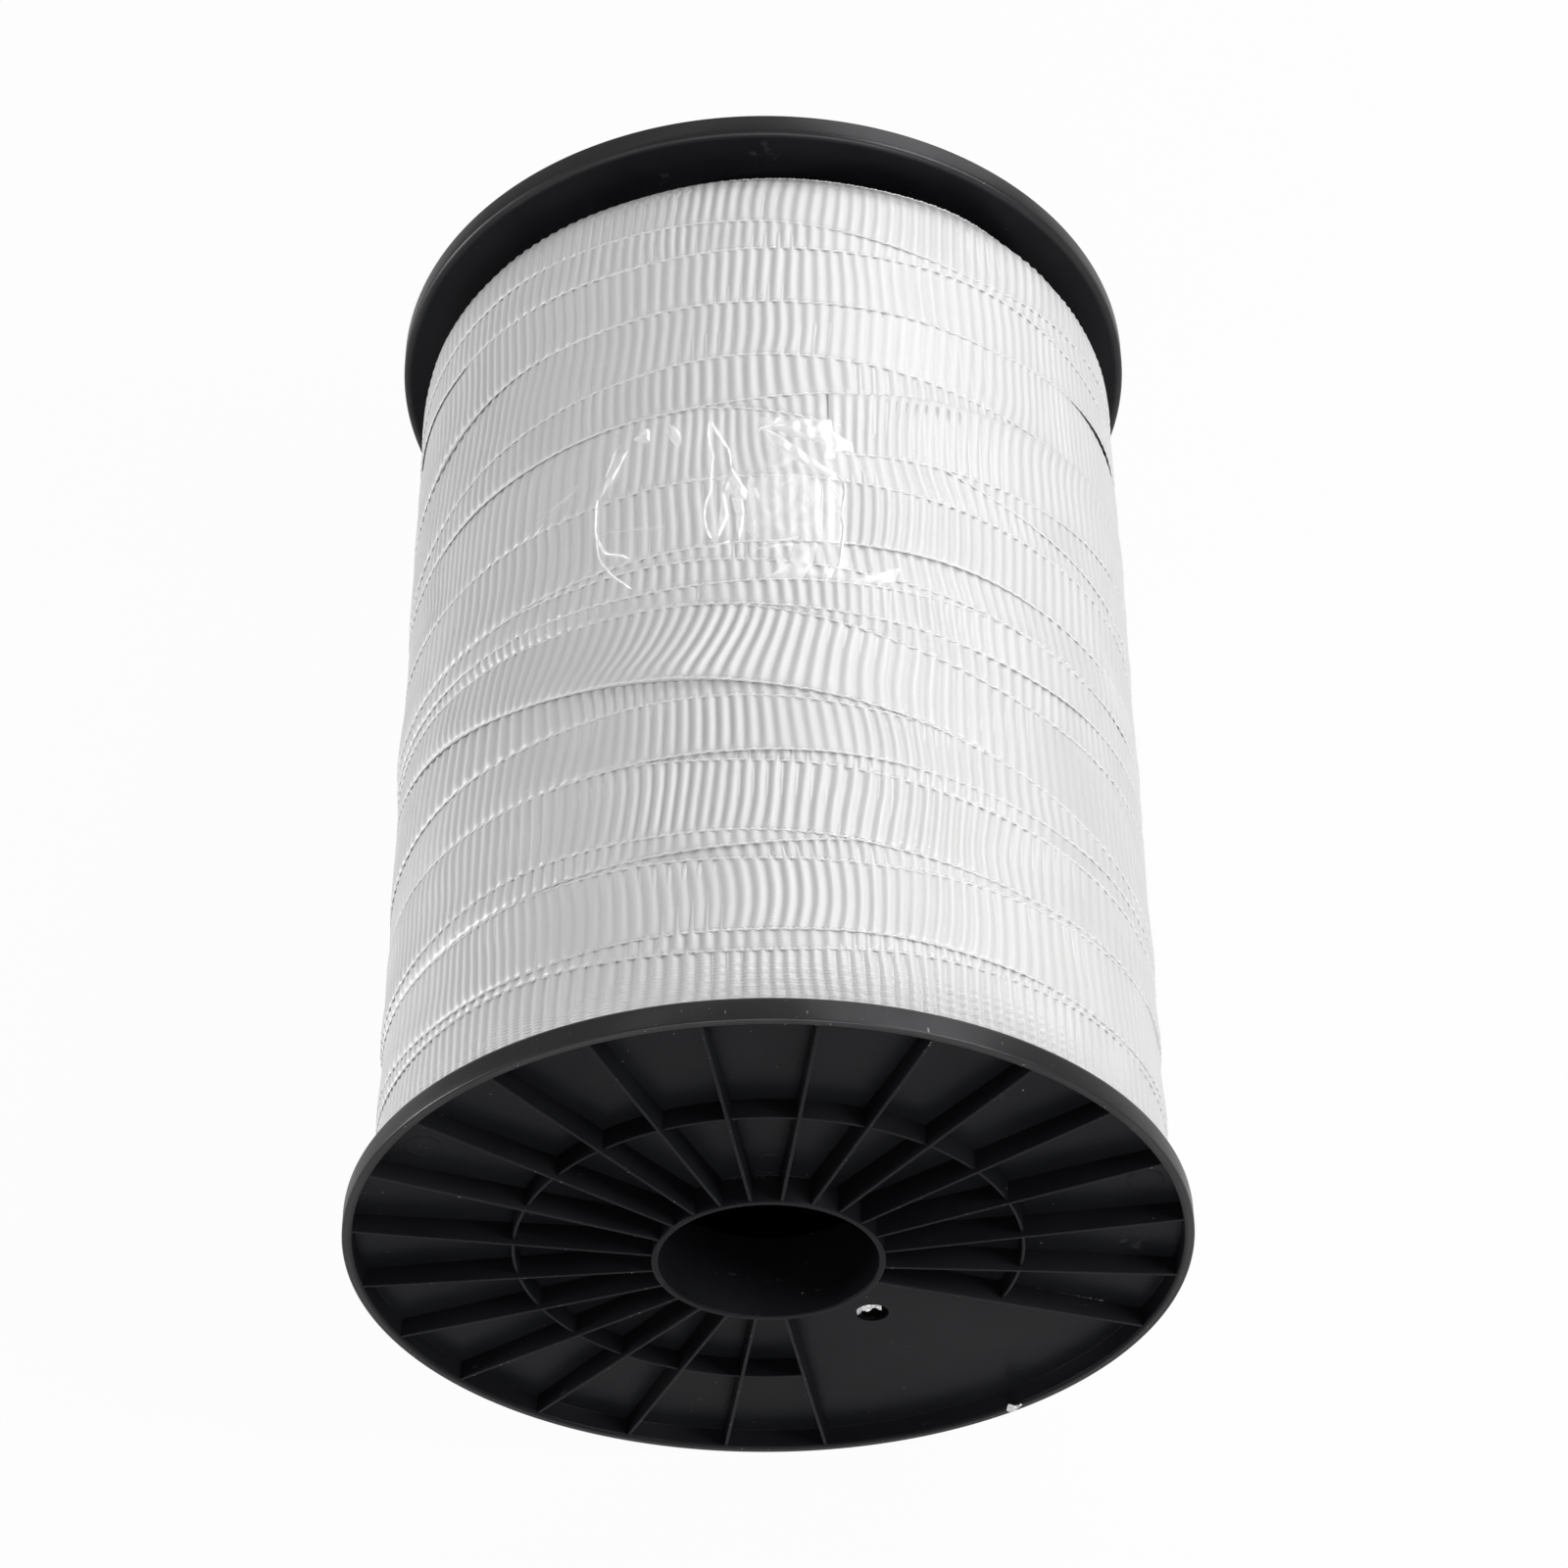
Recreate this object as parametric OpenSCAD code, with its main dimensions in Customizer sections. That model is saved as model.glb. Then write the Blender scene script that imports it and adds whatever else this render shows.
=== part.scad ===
// Plastic reel with two ribbed flanges, wound full of white woven tape.
// The reel lies on its two rims: X runs across it, Y along its axis, Z up.
// The origin is on the floor, midway between the two rims.

/* [Reel] */
// Diameter of both flanges
flange_d = 200; // [180:1:240]
// Distance from the front plane of one rim to that of the other
rim_span = 281; // [230:1:340]
// Turn of the far flange about the axis, in degrees
far_turn = 40; // [0:5:355]

/* [Flange] */
// Thickness of the rim, across the reel
rim_wall = 2.5; // [2:0.1:4]
// Width of the rim, along the axis
rim_w = 6.2; // [5:0.1:10]
// Thickness of the web between rim and hub
web_t = 1.2; // [0.8:0.1:2.5]
// Round on the rim's edge beside the tape
rim_back_round = 1.5; // [0.3:0.1:1.8]
// Round on the rim's outer front edge
rim_front_round = 0.4; // [0.2:0.1:0.6]
// Round on the rim's inner front edge
rim_inner_round = 0.8; // [0.2:0.1:1.2]

/* [Ribs] */
// Number of places for radial ribs round the flange
rib_places = 24; // [16:1:32]
// Angle of the first rib, in degrees
rib_first = 5; // [0:1:14]
// Number of the first rib place that is left plain
plain_first = 19; // [2:1:24]
// Number of rib places left plain, side by side
plain_count = 3; // [1:1:6]
// Thickness of each rib
rib_t = 1.2; // [0.8:0.1:2]
// How far a rib's front edge lies behind the rim plane, at the rim
rib_rim_drop = 0.4; // [0:0.1:1.5]
// How far a rib's front edge lies behind the hub ring's face, at the hub
rib_hub_drop = 0.2; // [0.1:0.1:1]
// Mean diameter of the ring rib
ring_rib_d = 120; // [100:1:160]
// Thickness of the ring rib
ring_rib_t = 1; // [0.8:0.1:2]
// How far the ring rib's edge lies behind the rim plane
ring_rib_drop = 0.2; // [0:0.1:2]

/* [Hub] */
// Diameter of the bore
bore_d = 52; // [40:0.5:60]
// Wall of the hub ring and the bore tube
hub_wall = 1.6; // [1.2:0.1:2.5]
// How far each hub ring stands out past its rim
hub_proud = 2; // [0.5:0.1:4]
// Depth of the bore tube behind the rim plane
bore_tube_depth = 20; // [14:0.5:40]
// Length of the collar that locates the core tube
collar_len = 12; // [6:0.5:20]
// Wall of the collar
collar_wall = 2; // [1.2:0.1:3]
// Clearance between the collar and the core tube, on the radius
collar_clear = 0.15; // [0.1:0.05:0.3]

/* [Core tube] */
// Outside diameter of the core tube
core_d = 80; // [76:0.5:84]
// Wall of the core tube
core_wall = 2; // [1.5:0.1:3]

/* [Tape] */
// Width of the tape
tape_w = 25; // [20:0.5:32]
// Thickness of the tape, over its cross ribs
tape_t = 0.9; // [0.6:0.1:1.4]
// Diameter over the highest tape edges of the outer turns
wound_d = 190; // [176:1:194]
// Step that each outer turn is meant to advance along the axis
lay_step = 19; // [16:0.5:24]
// Gap between a turn and the one that it laps over
turn_gap = 0.6; // [0.5:0.05:1]
// Crown of a turn over its flat form
turn_crown = 0.15; // [0.05:0.05:0.3]
// How far a tape edge wanders to each side as it goes round
edge_wander = 1.5; // [0:0.1:3]
// Clearance between the tape and a flange
tape_side_clear = 0.3; // [0.1:0.1:1]
// Clearance between the core tube and the first layer, on the radius
tape_core_clear = 0.1; // [0.05:0.05:0.5]
// Clearance between the outer turns and the layers below
layer_clear = 0.3; // [0.1:0.1:0.5]
// How far the outer turns stop short of the far flange
far_short = 2; // [1:0.5:12]
// Length of the winding's shoulder at the far flange
shoulder_len = 12; // [4:0.5:20]
// Drop of that shoulder
shoulder_drop = 14; // [5:0.5:30]

/* [Tape start] */
// Diameter of the hole that the tape's first end is drawn through
start_hole_d = 8; // [6:0.5:10]
// Distance of that hole from the axis
start_hole_r = 44.5; // [43:0.5:54]
// Turn of that hole from the middle of the plain sector, in degrees
start_turn = -4; // [-20:1:20]
// Clearance round the folded first end in its hole
start_clear = 0.3; // [0.2:0.1:1]
// Thickness of the folded first end
start_fold_t = 3.6; // [2:0.1:5]
// How far the first end lies behind the floor of the flange's pockets
start_sunk = 0.2; // [0.1:0.1:0.6]

/* [Tape end] */
// Angle of the tape's cut last end, in degrees
end_angle = 77; // [40:1:120]
// Sweep of the last stretch that lies on the outer turns, in degrees
end_sweep = 150; // [60:5:300]
// Distance of its near edge from the near rim plane
end_place = 170; // [60:1:200]
// Clearance of the last stretch over the turns below
end_clear = 0.2; // [0.1:0.1:0.5]

/* [Clear film] */
// Length of the film patch round the reel
film_len = 77; // [40:1:120]
// Width of the film patch along the axis
film_w = 52; // [30:1:70]
// Thickness of the film with its creases
film_t = 0.3; // [0.2:0.1:0.6]
// Angle of the middle of the film, in degrees
film_angle = 89; // [60:1:120]
// Distance of the middle of the film from the near rim plane
film_place = 157; // [80:1:190]
// Clearance of the film over the tape's last stretch
film_clear = 0.1; // [0.05:0.05:0.3]

/* [Hidden] */
$fn = 96;
eps = 0.05;

flange_r = flange_d / 2;
half_span = rim_span / 2;
rim_in_r = flange_r - rim_wall;
floor_depth = rim_w - web_t;
bore_r = bore_d / 2;
rib_step = 360 / rib_places;
ring_rib_r = ring_rib_d / 2;
plain_start = rib_first + (plain_first - 1) * rib_step;
ring_sweep = 360 - (plain_count + 1) * rib_step;
start_angle = plain_start + (plain_count + 1) / 2 * rib_step + start_turn;

core_r = core_d / 2;
core_in_r = core_r - core_wall;
collar_r = core_in_r - collar_clear;

// Half of the clear width between the two webs
half_clear = half_span - rim_w;

// The outer turns: a flat ribbon laid as shingles, each near edge over the turn before
rings_per_turn = 24;
ring_angle = 360 / rings_per_turn;
turn_start_angle = -20;
wander_waves = 2;
turns_run = 2 * half_clear - 2 * tape_side_clear - far_short - 2 * edge_wander - tape_w;
turns = round(turns_run / lay_step);
turn_pitch = turns_run / turns;
lap = max(0, tape_w - turn_pitch);
turn_rise = ((tape_t + turn_gap) * tape_w + 2 * turn_crown * lap) / turn_pitch;
turn_low_r = wound_d / 2 - tape_t - turn_rise;
turn_rings = turns * rings_per_turn;
first_edge = half_clear - tape_side_clear - edge_wander;
// A chord between two rings dips this share of the radius below them
chord_share = cos(ring_angle / 2);
pack_r = turn_low_r * chord_share - layer_clear;

end_in_r = wound_d / 2 + end_clear;
film_in_r = end_in_r + tape_t + film_clear;
film_sweep = film_len / film_in_r * 180 / PI;

// Lays what is built upright, near end up, onto its rims
module laid() {
    translate([0, 0, flange_r])
        rotate([90, 0, 0])
            children();
}

// Material between a corner and the round that fits it, corner at the origin
module corner_waste(r) {
    difference() {
        translate([-r, -r])
            square(r + eps);
        translate([-r, -r])
            circle(r);
    }
}

// Half section of the rim, front plane at height 0
module rim_section() {
    difference() {
        translate([rim_in_r, -rim_w])
            square([rim_wall, rim_w]);
        translate([flange_r, 0])
            corner_waste(rim_front_round);
        translate([rim_in_r, 0])
            mirror([1, 0])
                corner_waste(rim_inner_round);
        translate([flange_r, -rim_w])
            mirror([0, 1])
                corner_waste(rim_back_round);
    }
}

// Half section of everything on the flange that is round
module flange_section() {
    rim_section();
    translate([bore_r, -rim_w])
        square([rim_in_r + rim_wall / 2 - bore_r, web_t]);
    translate([bore_r, -bore_tube_depth])
        square([hub_wall, bore_tube_depth + hub_proud]);
    translate([collar_r - collar_wall, -rim_w - collar_len])
        square([collar_wall, collar_len + web_t / 2]);
}

// One radial rib, its front edge falling from the hub ring to the rim
module radial_rib() {
    from_r = bore_r + hub_wall / 2;
    to_r = rim_in_r + rim_wall / 2;
    rotate([90, 0, 0])
        linear_extrude(rib_t, center = true)
            polygon([
                [from_r, hub_proud - rib_hub_drop],
                [to_r, -rib_rim_drop],
                [to_r, -floor_depth - web_t / 2],
                [from_r, -floor_depth - web_t / 2]
            ]);
}

// The ring rib, open over the plain sector
module ring_rib() {
    rotate([0, 0, plain_start + (plain_count + 1) * rib_step])
        rotate_extrude(angle = ring_sweep)
            translate([ring_rib_r - ring_rib_t / 2, -floor_depth - web_t / 2])
                square([ring_rib_t, floor_depth + web_t / 2 - ring_rib_drop]);
}

// One flange with its front plane at height 0 and its hub ring upwards
module flange() {
    difference() {
        rotate_extrude()
            flange_section();
        rotate([0, 0, start_angle])
            translate([start_hole_r, 0, -rim_w - eps])
                cylinder(d = start_hole_d, h = web_t + 2 * eps);
    }
    for (place = [plain_count + 1 : rib_places])
        rotate([0, 0, plain_start + place * rib_step])
            radial_rib();
    ring_rib();
}

module near_flange() {
    color([0.05, 0.05, 0.055])
        laid()
            translate([0, 0, half_span])
                flange();
}

// The same moulding, turned over
module far_flange() {
    color([0.05, 0.05, 0.055])
        laid()
            translate([0, 0, -half_span])
                rotate([180, 0, far_turn])
                    flange();
}

// Tube between the two webs, located by their collars
module core_tube() {
    color([0.16, 0.16, 0.17])
        laid()
            rotate_extrude()
                translate([core_in_r, -half_clear])
                    square([core_wall, 2 * half_clear]);
}

// All layers below the outer turns, with the worn-down shoulder at the far end
module tape_pack() {
    in_r = core_r + tape_core_clear;
    reach = half_clear - tape_side_clear;
    color([0.86, 0.86, 0.85])
        laid()
            rotate_extrude()
                polygon([
                    [in_r, -reach],
                    [pack_r - shoulder_drop, -reach],
                    [pack_r, -reach + shoulder_len],
                    [pack_r, reach],
                    [in_r, reach]
                ]);
}

// Section of the ribbon: distance from its near edge, and height over its low edge
ribbon_section = [
    [0, turn_rise],
    [tape_w / 2, turn_rise / 2 + turn_crown],
    [tape_w, 0],
    [tape_w, tape_t],
    [tape_w / 2, turn_rise / 2 + turn_crown + tape_t],
    [0, turn_rise + tape_t]
];

// Near edge of the ribbon at a ring, as a height along the axis
function edge_at(ring) =
    first_edge - turn_pitch * ring / rings_per_turn
    + edge_wander * sin(wander_waves * ring * ring_angle);

// A point of the section at a ring, as radius and height
function section_at(ring, p) = [turn_low_r + p[1], edge_at(ring) - p[0]];

// The same point in space
function point_at(ring, p) =
    let (a = turn_start_angle + ring * ring_angle, q = section_at(ring, p))
        [q[0] * cos(a), q[0] * sin(a), q[1]];

// Distance from point p to the stretch from a to b
function stretch_distance(p, a, b) =
    let (d = b - a, t = max(0, min(1, (p - a) * d / (d * d))))
        norm(p - a - t * d);

// Least distance at one ring between a turn's underside and the turn before
function turn_distance(ring) =
    let (
        under = [for (i = [0 : 2]) section_at(ring + rings_per_turn, ribbon_section[i])],
        over = [for (i = [3 : 5]) section_at(ring, ribbon_section[i])]
    )
        min([
            for (i = [0 : 2]) for (j = [0 : 1])
                min(
                    stretch_distance(under[i], over[j], over[j + 1]),
                    stretch_distance(over[i], under[j], under[j + 1])
                )
        ]);

echo(least_gap_between_turns = chord_share
    * min([for (ring = [0 : turn_rings - rings_per_turn]) turn_distance(ring)]));

// Every outer turn, as one unbroken ribbon
module tape_outer_turns() {
    sides = len(ribbon_section);
    last = turn_rings * sides;
    points = [
        for (ring = [0 : turn_rings]) for (p = ribbon_section) point_at(ring, p)
    ];
    skin = [
        for (ring = [0 : turn_rings - 1]) for (i = [0 : sides - 1])
            let (
                a = ring * sides + i,
                b = ring * sides + (i + 1) % sides
            )
                each [[a, b, a + sides], [b, b + sides, a + sides]]
    ];
    first_cap = [for (i = [1 : sides - 2]) [0, i + 1, i]];
    last_cap = [for (i = [1 : sides - 2]) [last, last + i, last + i + 1]];
    color([0.93, 0.93, 0.92])
        laid()
            polyhedron(points, concat(skin, first_cap, last_cap));
}

// The folded first end of the tape, drawn into its hole in the near flange
module tape_start() {
    fold_w = start_hole_d - 2 * start_clear;
    depth = web_t + tape_side_clear - 2 * start_sunk;
    color([0.9, 0.9, 0.88])
        laid()
            rotate([0, 0, start_angle])
                translate([start_hole_r, 0, half_span - rim_w - tape_side_clear + start_sunk])
                    intersection() {
                        cylinder(d = fold_w, h = depth);
                        translate([-fold_w / 2, -start_fold_t / 2, 0])
                            cube([fold_w, start_fold_t, depth]);
                    }
}

// The last stretch of the tape, with its cut end under the film
module tape_end() {
    color([0.95, 0.95, 0.94])
        laid()
            rotate([0, 0, end_angle - end_sweep])
                rotate_extrude(angle = end_sweep)
                    translate([end_in_r, half_span - end_place - tape_w])
                        square([tape_t, tape_w]);
}

// The patch of clear adhesive film that holds the tape's end
module clear_film() {
    color([0.9, 0.93, 0.95, 0.4])
        laid()
            rotate([0, 0, film_angle - film_sweep / 2])
                rotate_extrude(angle = film_sweep)
                    translate([film_in_r, half_span - film_place - film_w / 2])
                        square([film_t, film_w]);
}

near_flange();
far_flange();
core_tube();
tape_pack();
tape_outer_turns();
tape_start();
tape_end();
clear_film();
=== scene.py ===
# %% [markdown]
# # A reel of woven tape
# Two black ribbed flanges sit on a core tube, and a flat white tape is wound between them.
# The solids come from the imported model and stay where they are. Blender adds what a solid
# can't carry: moulded edges, the ribs of the weave, lifted selvedges, and a creased film.

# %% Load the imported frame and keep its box
import math

import bpy
import numpy as np
from mathutils import Matrix, Vector


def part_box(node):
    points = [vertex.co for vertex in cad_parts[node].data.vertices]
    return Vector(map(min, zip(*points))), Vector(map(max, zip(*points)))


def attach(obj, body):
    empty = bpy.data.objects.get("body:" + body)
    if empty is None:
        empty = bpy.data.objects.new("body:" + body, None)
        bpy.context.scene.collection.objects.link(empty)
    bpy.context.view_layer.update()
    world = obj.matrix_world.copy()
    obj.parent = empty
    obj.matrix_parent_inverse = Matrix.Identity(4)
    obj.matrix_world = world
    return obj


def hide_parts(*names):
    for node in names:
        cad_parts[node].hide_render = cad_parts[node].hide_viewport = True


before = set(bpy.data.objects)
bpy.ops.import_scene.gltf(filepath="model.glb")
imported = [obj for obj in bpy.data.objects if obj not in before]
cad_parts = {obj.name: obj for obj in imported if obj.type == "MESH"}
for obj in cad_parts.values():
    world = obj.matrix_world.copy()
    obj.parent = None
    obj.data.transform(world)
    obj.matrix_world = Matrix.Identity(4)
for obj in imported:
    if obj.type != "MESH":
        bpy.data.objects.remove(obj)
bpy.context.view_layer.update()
print("solids:", ", ".join(sorted(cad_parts)))

# %% [markdown]
# ## Measures
# The reel is drawn in millimetres and only turned into metres when a mesh is made, because
# a maker thinks of it in millimetres. The few sizes below repeat those of the solids.

# %% Sizes of the reel in millimetres
MM = 0.001
FLANGE_R, RIM_SPAN, FAR_TURN = 100.0, 281.0, 40.0
RIM_WALL, RIM_WIDTH, FLOOR_DEPTH = 2.5, 6.2, 5.0
BORE_R, HUB_WALL, HUB_PROUD = 26.0, 1.6, 2.0
TAPE_WIDTH, TAPE_THICK = 25.0, 0.24
low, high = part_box("near_flange")
print(f"near flange: {(high.x - low.x) / MM:.1f} mm across, front at {low.y / MM:.1f} mm")
rng = np.random.default_rng(31)


# %% [markdown]
# ## Meshes from rings
# Nearly every piece here is a section carried along a path: a flange section round its
# axis, a rib from hub to rim, the tape round the winding. So one helper joins rings of
# points into quads. Faces must point outwards, so the mesh's signed volume is worked out
# and the faces are turned over if it is negative.

# %% Helpers that join rings of points into a mesh
def ring_quads(rings, sides, closed_path=False, closed_section=True):
    """Faces between neighbouring rings, as rows of four point numbers."""
    ring = np.arange(rings if closed_path else rings - 1)[:, None]
    side = np.arange(sides if closed_section else sides - 1)[None, :]
    ahead, after = (ring + 1) % rings, (side + 1) % sides
    corners = [ring * sides + side, ring * sides + after, ahead * sides + after, ahead * sides + side]
    return np.stack(np.broadcast_arrays(*corners), -1).reshape(-1, 4)


def open_quads(rows, columns):
    """Faces of an open sheet of points."""
    return ring_quads(rows, columns, closed_section=False).tolist()


def swept(rings, closed_path=False):
    """(points, faces) of a closed section carried along a path; rings is (n, m, 3)."""
    rings = np.asarray(rings, float)
    n, m = rings.shape[:2]
    faces = ring_quads(n, m, closed_path).tolist()
    if not closed_path:
        faces += [list(range(m))[::-1], list(range((n - 1) * m, n * m))]
    return rings.reshape(-1, 3), faces


def merged(parts):
    """Several (points, faces) as one."""
    points, faces, start = [], [], 0
    for part_points, part_faces in parts:
        points.append(np.asarray(part_points, float))
        faces += [[i + start for i in face] for face in part_faces]
        start += len(part_points)
    return np.concatenate(points), faces


def outward(points, faces):
    """The faces, turned over if the solid they bound has a negative volume."""
    points = np.asarray(points)
    first = points[[f[0] for f in faces]]
    second = points[[f[1] for f in faces]]
    third = points[[f[2] for f in faces]]
    volume = np.einsum("ij,ij->i", first, np.cross(second, third)).sum()
    return [f[::-1] for f in faces] if volume < 0 else faces


def polar(r, degrees):
    """A point at a distance and an angle, as (x, y)."""
    a = math.radians(degrees)
    return r * math.cos(a), r * math.sin(a)


# %% Helpers that make objects
def new_object(name, data):
    """An object of a mesh, a camera or a lamp, put into the scene."""
    made = bpy.data.objects.new(name, data)
    bpy.context.scene.collection.objects.link(made)
    return made


def new_mesh(name, points, faces):
    """A mesh from its points and faces."""
    mesh = bpy.data.meshes.new(name)
    mesh.from_pydata(np.asarray(points), [], faces)
    return mesh


def add_piece(name, points, faces, material, crease_deg=None, solid=True):
    """A mesh object that rides on the reel; points are in metres, in the frame of the solids."""
    mesh = new_mesh(name, points, outward(points, faces) if solid else faces)
    mesh.shade_smooth()
    if crease_deg is not None:
        mesh.set_sharp_from_angle(angle=math.radians(crease_deg))
    mesh.materials.append(material)
    piece = new_object(name, mesh)
    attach(piece, "root")
    return piece


def give_attribute(piece, name, values):
    """Store a number, or a vector of three, on each point for the material to read."""
    kind, key = ("FLOAT", "value") if values.ndim == 1 else ("FLOAT_VECTOR", "vector")
    stored = piece.data.attributes.new(name, kind, "POINT")
    stored.data.foreach_set(key, values.astype(np.float32).ravel())


# %% [markdown]
# ## Shader maths as expressions
# A material is a small network of nodes. Written by hand it hides its own formula, so one
# class wraps an output socket: adding or multiplying two of them adds the Math node, and
# `add` makes any other node from its type, its settings and what goes into its sockets.

# %% A wrapped socket
OBJECT_OUTPUT, MIX_COLOURS, MIX_OUTPUT = 3, (6, 7), 2  # sockets that only a number tells apart


class Wire:
    """An output socket of a material's nodes."""

    def __init__(self, tree, socket=None):
        self.tree, self.socket = tree, socket

    def add(self, kind, settings=None, inputs=None):
        """A node of a type, with its settings and what its sockets hold; gives its first output."""
        node = self.tree.nodes.new("ShaderNode" + kind)
        for key, value in (settings or {}).items():
            setattr(node, key, value)
        for key, value in (inputs or {}).items():
            if isinstance(value, Wire):
                self.tree.links.new(value.socket, node.inputs[key])
            else:
                node.inputs[key].default_value = value
        return Wire(self.tree, node.outputs[0])

    def sibling(self, out):
        """Another output of the same node, by its number."""
        return Wire(self.tree, self.socket.node.outputs[out])

    def place(self):
        """Where a point of the surface is, in metres."""
        return self.add("TexCoord").sibling(OBJECT_OUTPUT)

    def stored(self, name, vector=False):
        """What a mesh stores on its points under a name."""
        return self.add("Attribute", {"attribute_name": name}).sibling(1 if vector else 2)

    def split(self):
        """The three parts of a vector."""
        first = self.add("SeparateXYZ", None, {"Vector": self})
        return first, first.sibling(1), first.sibling(2)

    def math(self, operation, *values):
        """One Math node, with a wire or a number in each of its sockets."""
        return self.add("Math", {"operation": operation}, dict(enumerate(values)))

    def sine(self):
        return self.math("SINE", self)

    def __add__(self, other):
        return self.math("ADD", self, other)

    def __sub__(self, other):
        return self.math("SUBTRACT", self, other)

    def __rsub__(self, other):
        return self.math("SUBTRACT", other, self)

    def __mul__(self, other):
        return self.math("MULTIPLY", self, other)

    def __gt__(self, other):
        return self.math("GREATER_THAN", self, other)

    def __lt__(self, other):
        return self.math("LESS_THAN", self, other)

    __radd__, __rmul__ = __add__, __mul__

    def step(self, start, end):
        """0 below start and 1 above end, with a smooth rise between."""
        sockets = {"Value": self, "From Min": start, "From Max": end}
        return self.add("MapRange", {"interpolation_type": "SMOOTHSTEP"}, sockets)

    def blend(self, first, second):
        """Colour first where this is 0 and second where it is 1."""
        sockets = {0: self, MIX_COLOURS[0]: first, MIX_COLOURS[1]: second}
        return self.add("Mix", {"data_type": "RGBA"}, sockets).sibling(MIX_OUTPUT)

    def noise(self, scale, detail=2.0, stretch=None):
        """Fractal noise at a number of bumps a metre, read at this wire's place."""
        place = self.stretched(stretch) if stretch else self
        return place.add("TexNoise", None, {"Vector": place, "Scale": scale, "Detail": detail})

    def stretched(self, factors):
        """This place scaled along each axis, which stretches a texture read there."""
        return self.add("VectorMath", {"operation": "MULTIPLY"}, {0: self, 1: factors})


def new_material(name):
    """A material with only its output node, and a wire that starts its network."""
    material = bpy.data.materials.new(name)
    material.use_nodes = True
    tree = material.node_tree
    tree.nodes.clear()
    return material, Wire(tree)


def surface(start, shader):
    """Join a finished shader to the material's output."""
    out = start.tree.nodes.new("ShaderNodeOutputMaterial")
    start.tree.links.new(shader.socket, out.inputs["Surface"])


# %% [markdown]
# ## Black moulded plastic
# The flanges are injection-moulded in black. The mould's polish shows as a satin gloss, and
# handling leaves dust specks and a few scuffs. A plain dark colour would look like a hole
# in the picture, so the gloss varies a little and small bright specks are scattered. The
# outside of the rim is rubbed where the reel stands and rolls. A rubbed edge isn't grey all
# round: it shines only towards a lamp, so its share of metal goes up and not just its colour.

# %% Plastic of the flanges and of the core tube
RUBBED_FROM, RUBBED_TO = 97.5, 99.0  # distances from the axis, in millimetres


def moulded_plastic(name, dark, worn, polish):
    """Plastic in a dark tone and a worn one; polish sets its roughness."""
    material, start = new_material(name)
    place = start.place()
    broad, fine = place.noise(38, 3), place.noise(950, 3)
    dots = {"Vector": place, "Scale": 190.0, "Randomness": 1.0}
    speck = start.add("TexVoronoi", None, dots) < (fine - 0.42) * 0.13
    scratch = place.noise(60, 4, stretch=(1.0, 9.0, 1.0)).step(0.66, 0.71)
    marks = scratch * place.noise(420, 2).step(0.5, 0.7)
    body = broad.step(0.3, 0.7).blend(dark, worn)
    x, _, z = place.split()
    z = z - FLANGE_R * MM
    rubbed = (x * x + z * z).step((RUBBED_FROM * MM) ** 2, (RUBBED_TO * MM) ** 2)
    rubbed = rubbed * (0.6 + 0.4 * place.noise(25, 3).step(0.35, 0.65))
    body = rubbed.blend(body, (0.055, 0.055, 0.057, 1))
    colour = (marks * 0.25).blend(body, (0.09, 0.09, 0.092, 1))
    colour = speck.blend(colour, (0.42, 0.42, 0.41, 1))
    bump = start.add("Bump", None, {"Strength": 0.12, "Distance": 0.0002, "Height": fine})
    surface(start, start.add("BsdfPrincipled", None, {
        "Base Color": colour,
        "Roughness": polish + 0.12 * broad + 0.2 * marks + 0.3 * speck,
        "Metallic": rubbed * 0.85,
        "Specular IOR Level": 0.07,
        "Normal": bump,
    }))
    return material


black_plastic = moulded_plastic(
    "black_moulding", (0.0075, 0.0078, 0.0095, 1), (0.011, 0.0114, 0.013, 1), 0.28)
tube_plastic = moulded_plastic(
    "core_tube_plastic", (0.012, 0.012, 0.012, 1), (0.02, 0.02, 0.02, 1), 0.35)
print("black plastic:", len(black_plastic.node_tree.nodes), "nodes")

# %% [markdown]
# ## Woven tape
# The tape is a white synthetic weave: thick cross ribs, which are real geometry, covered by
# fine yarns that run along the tape. The yarns are far too fine to model, so they are a
# bump that reads the tape's own coordinates, along and across, stored on each point. The bump
# is kept very low, because a strong one scatters the light and the ribs then look flat. The
# yarns have a silky sheen: a share of metal gives it, and a rib lights up where it leans to a
# lamp. Close to the near flange the yarns are crowded, and show as fine lines round the reel.

# %% Cloth of the tape and its edge cord
YARN_PITCH, PICK_PITCH, PICK_SLANT, LINE_PITCH = 0.62, 0.45, 0.7, 0.87  # millimetres
YARN_RISE = 0.014
CROWDED_TO, EVEN_FROM = 8.5, 23.5  # distances from the near rim plane, in millimetres


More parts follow.
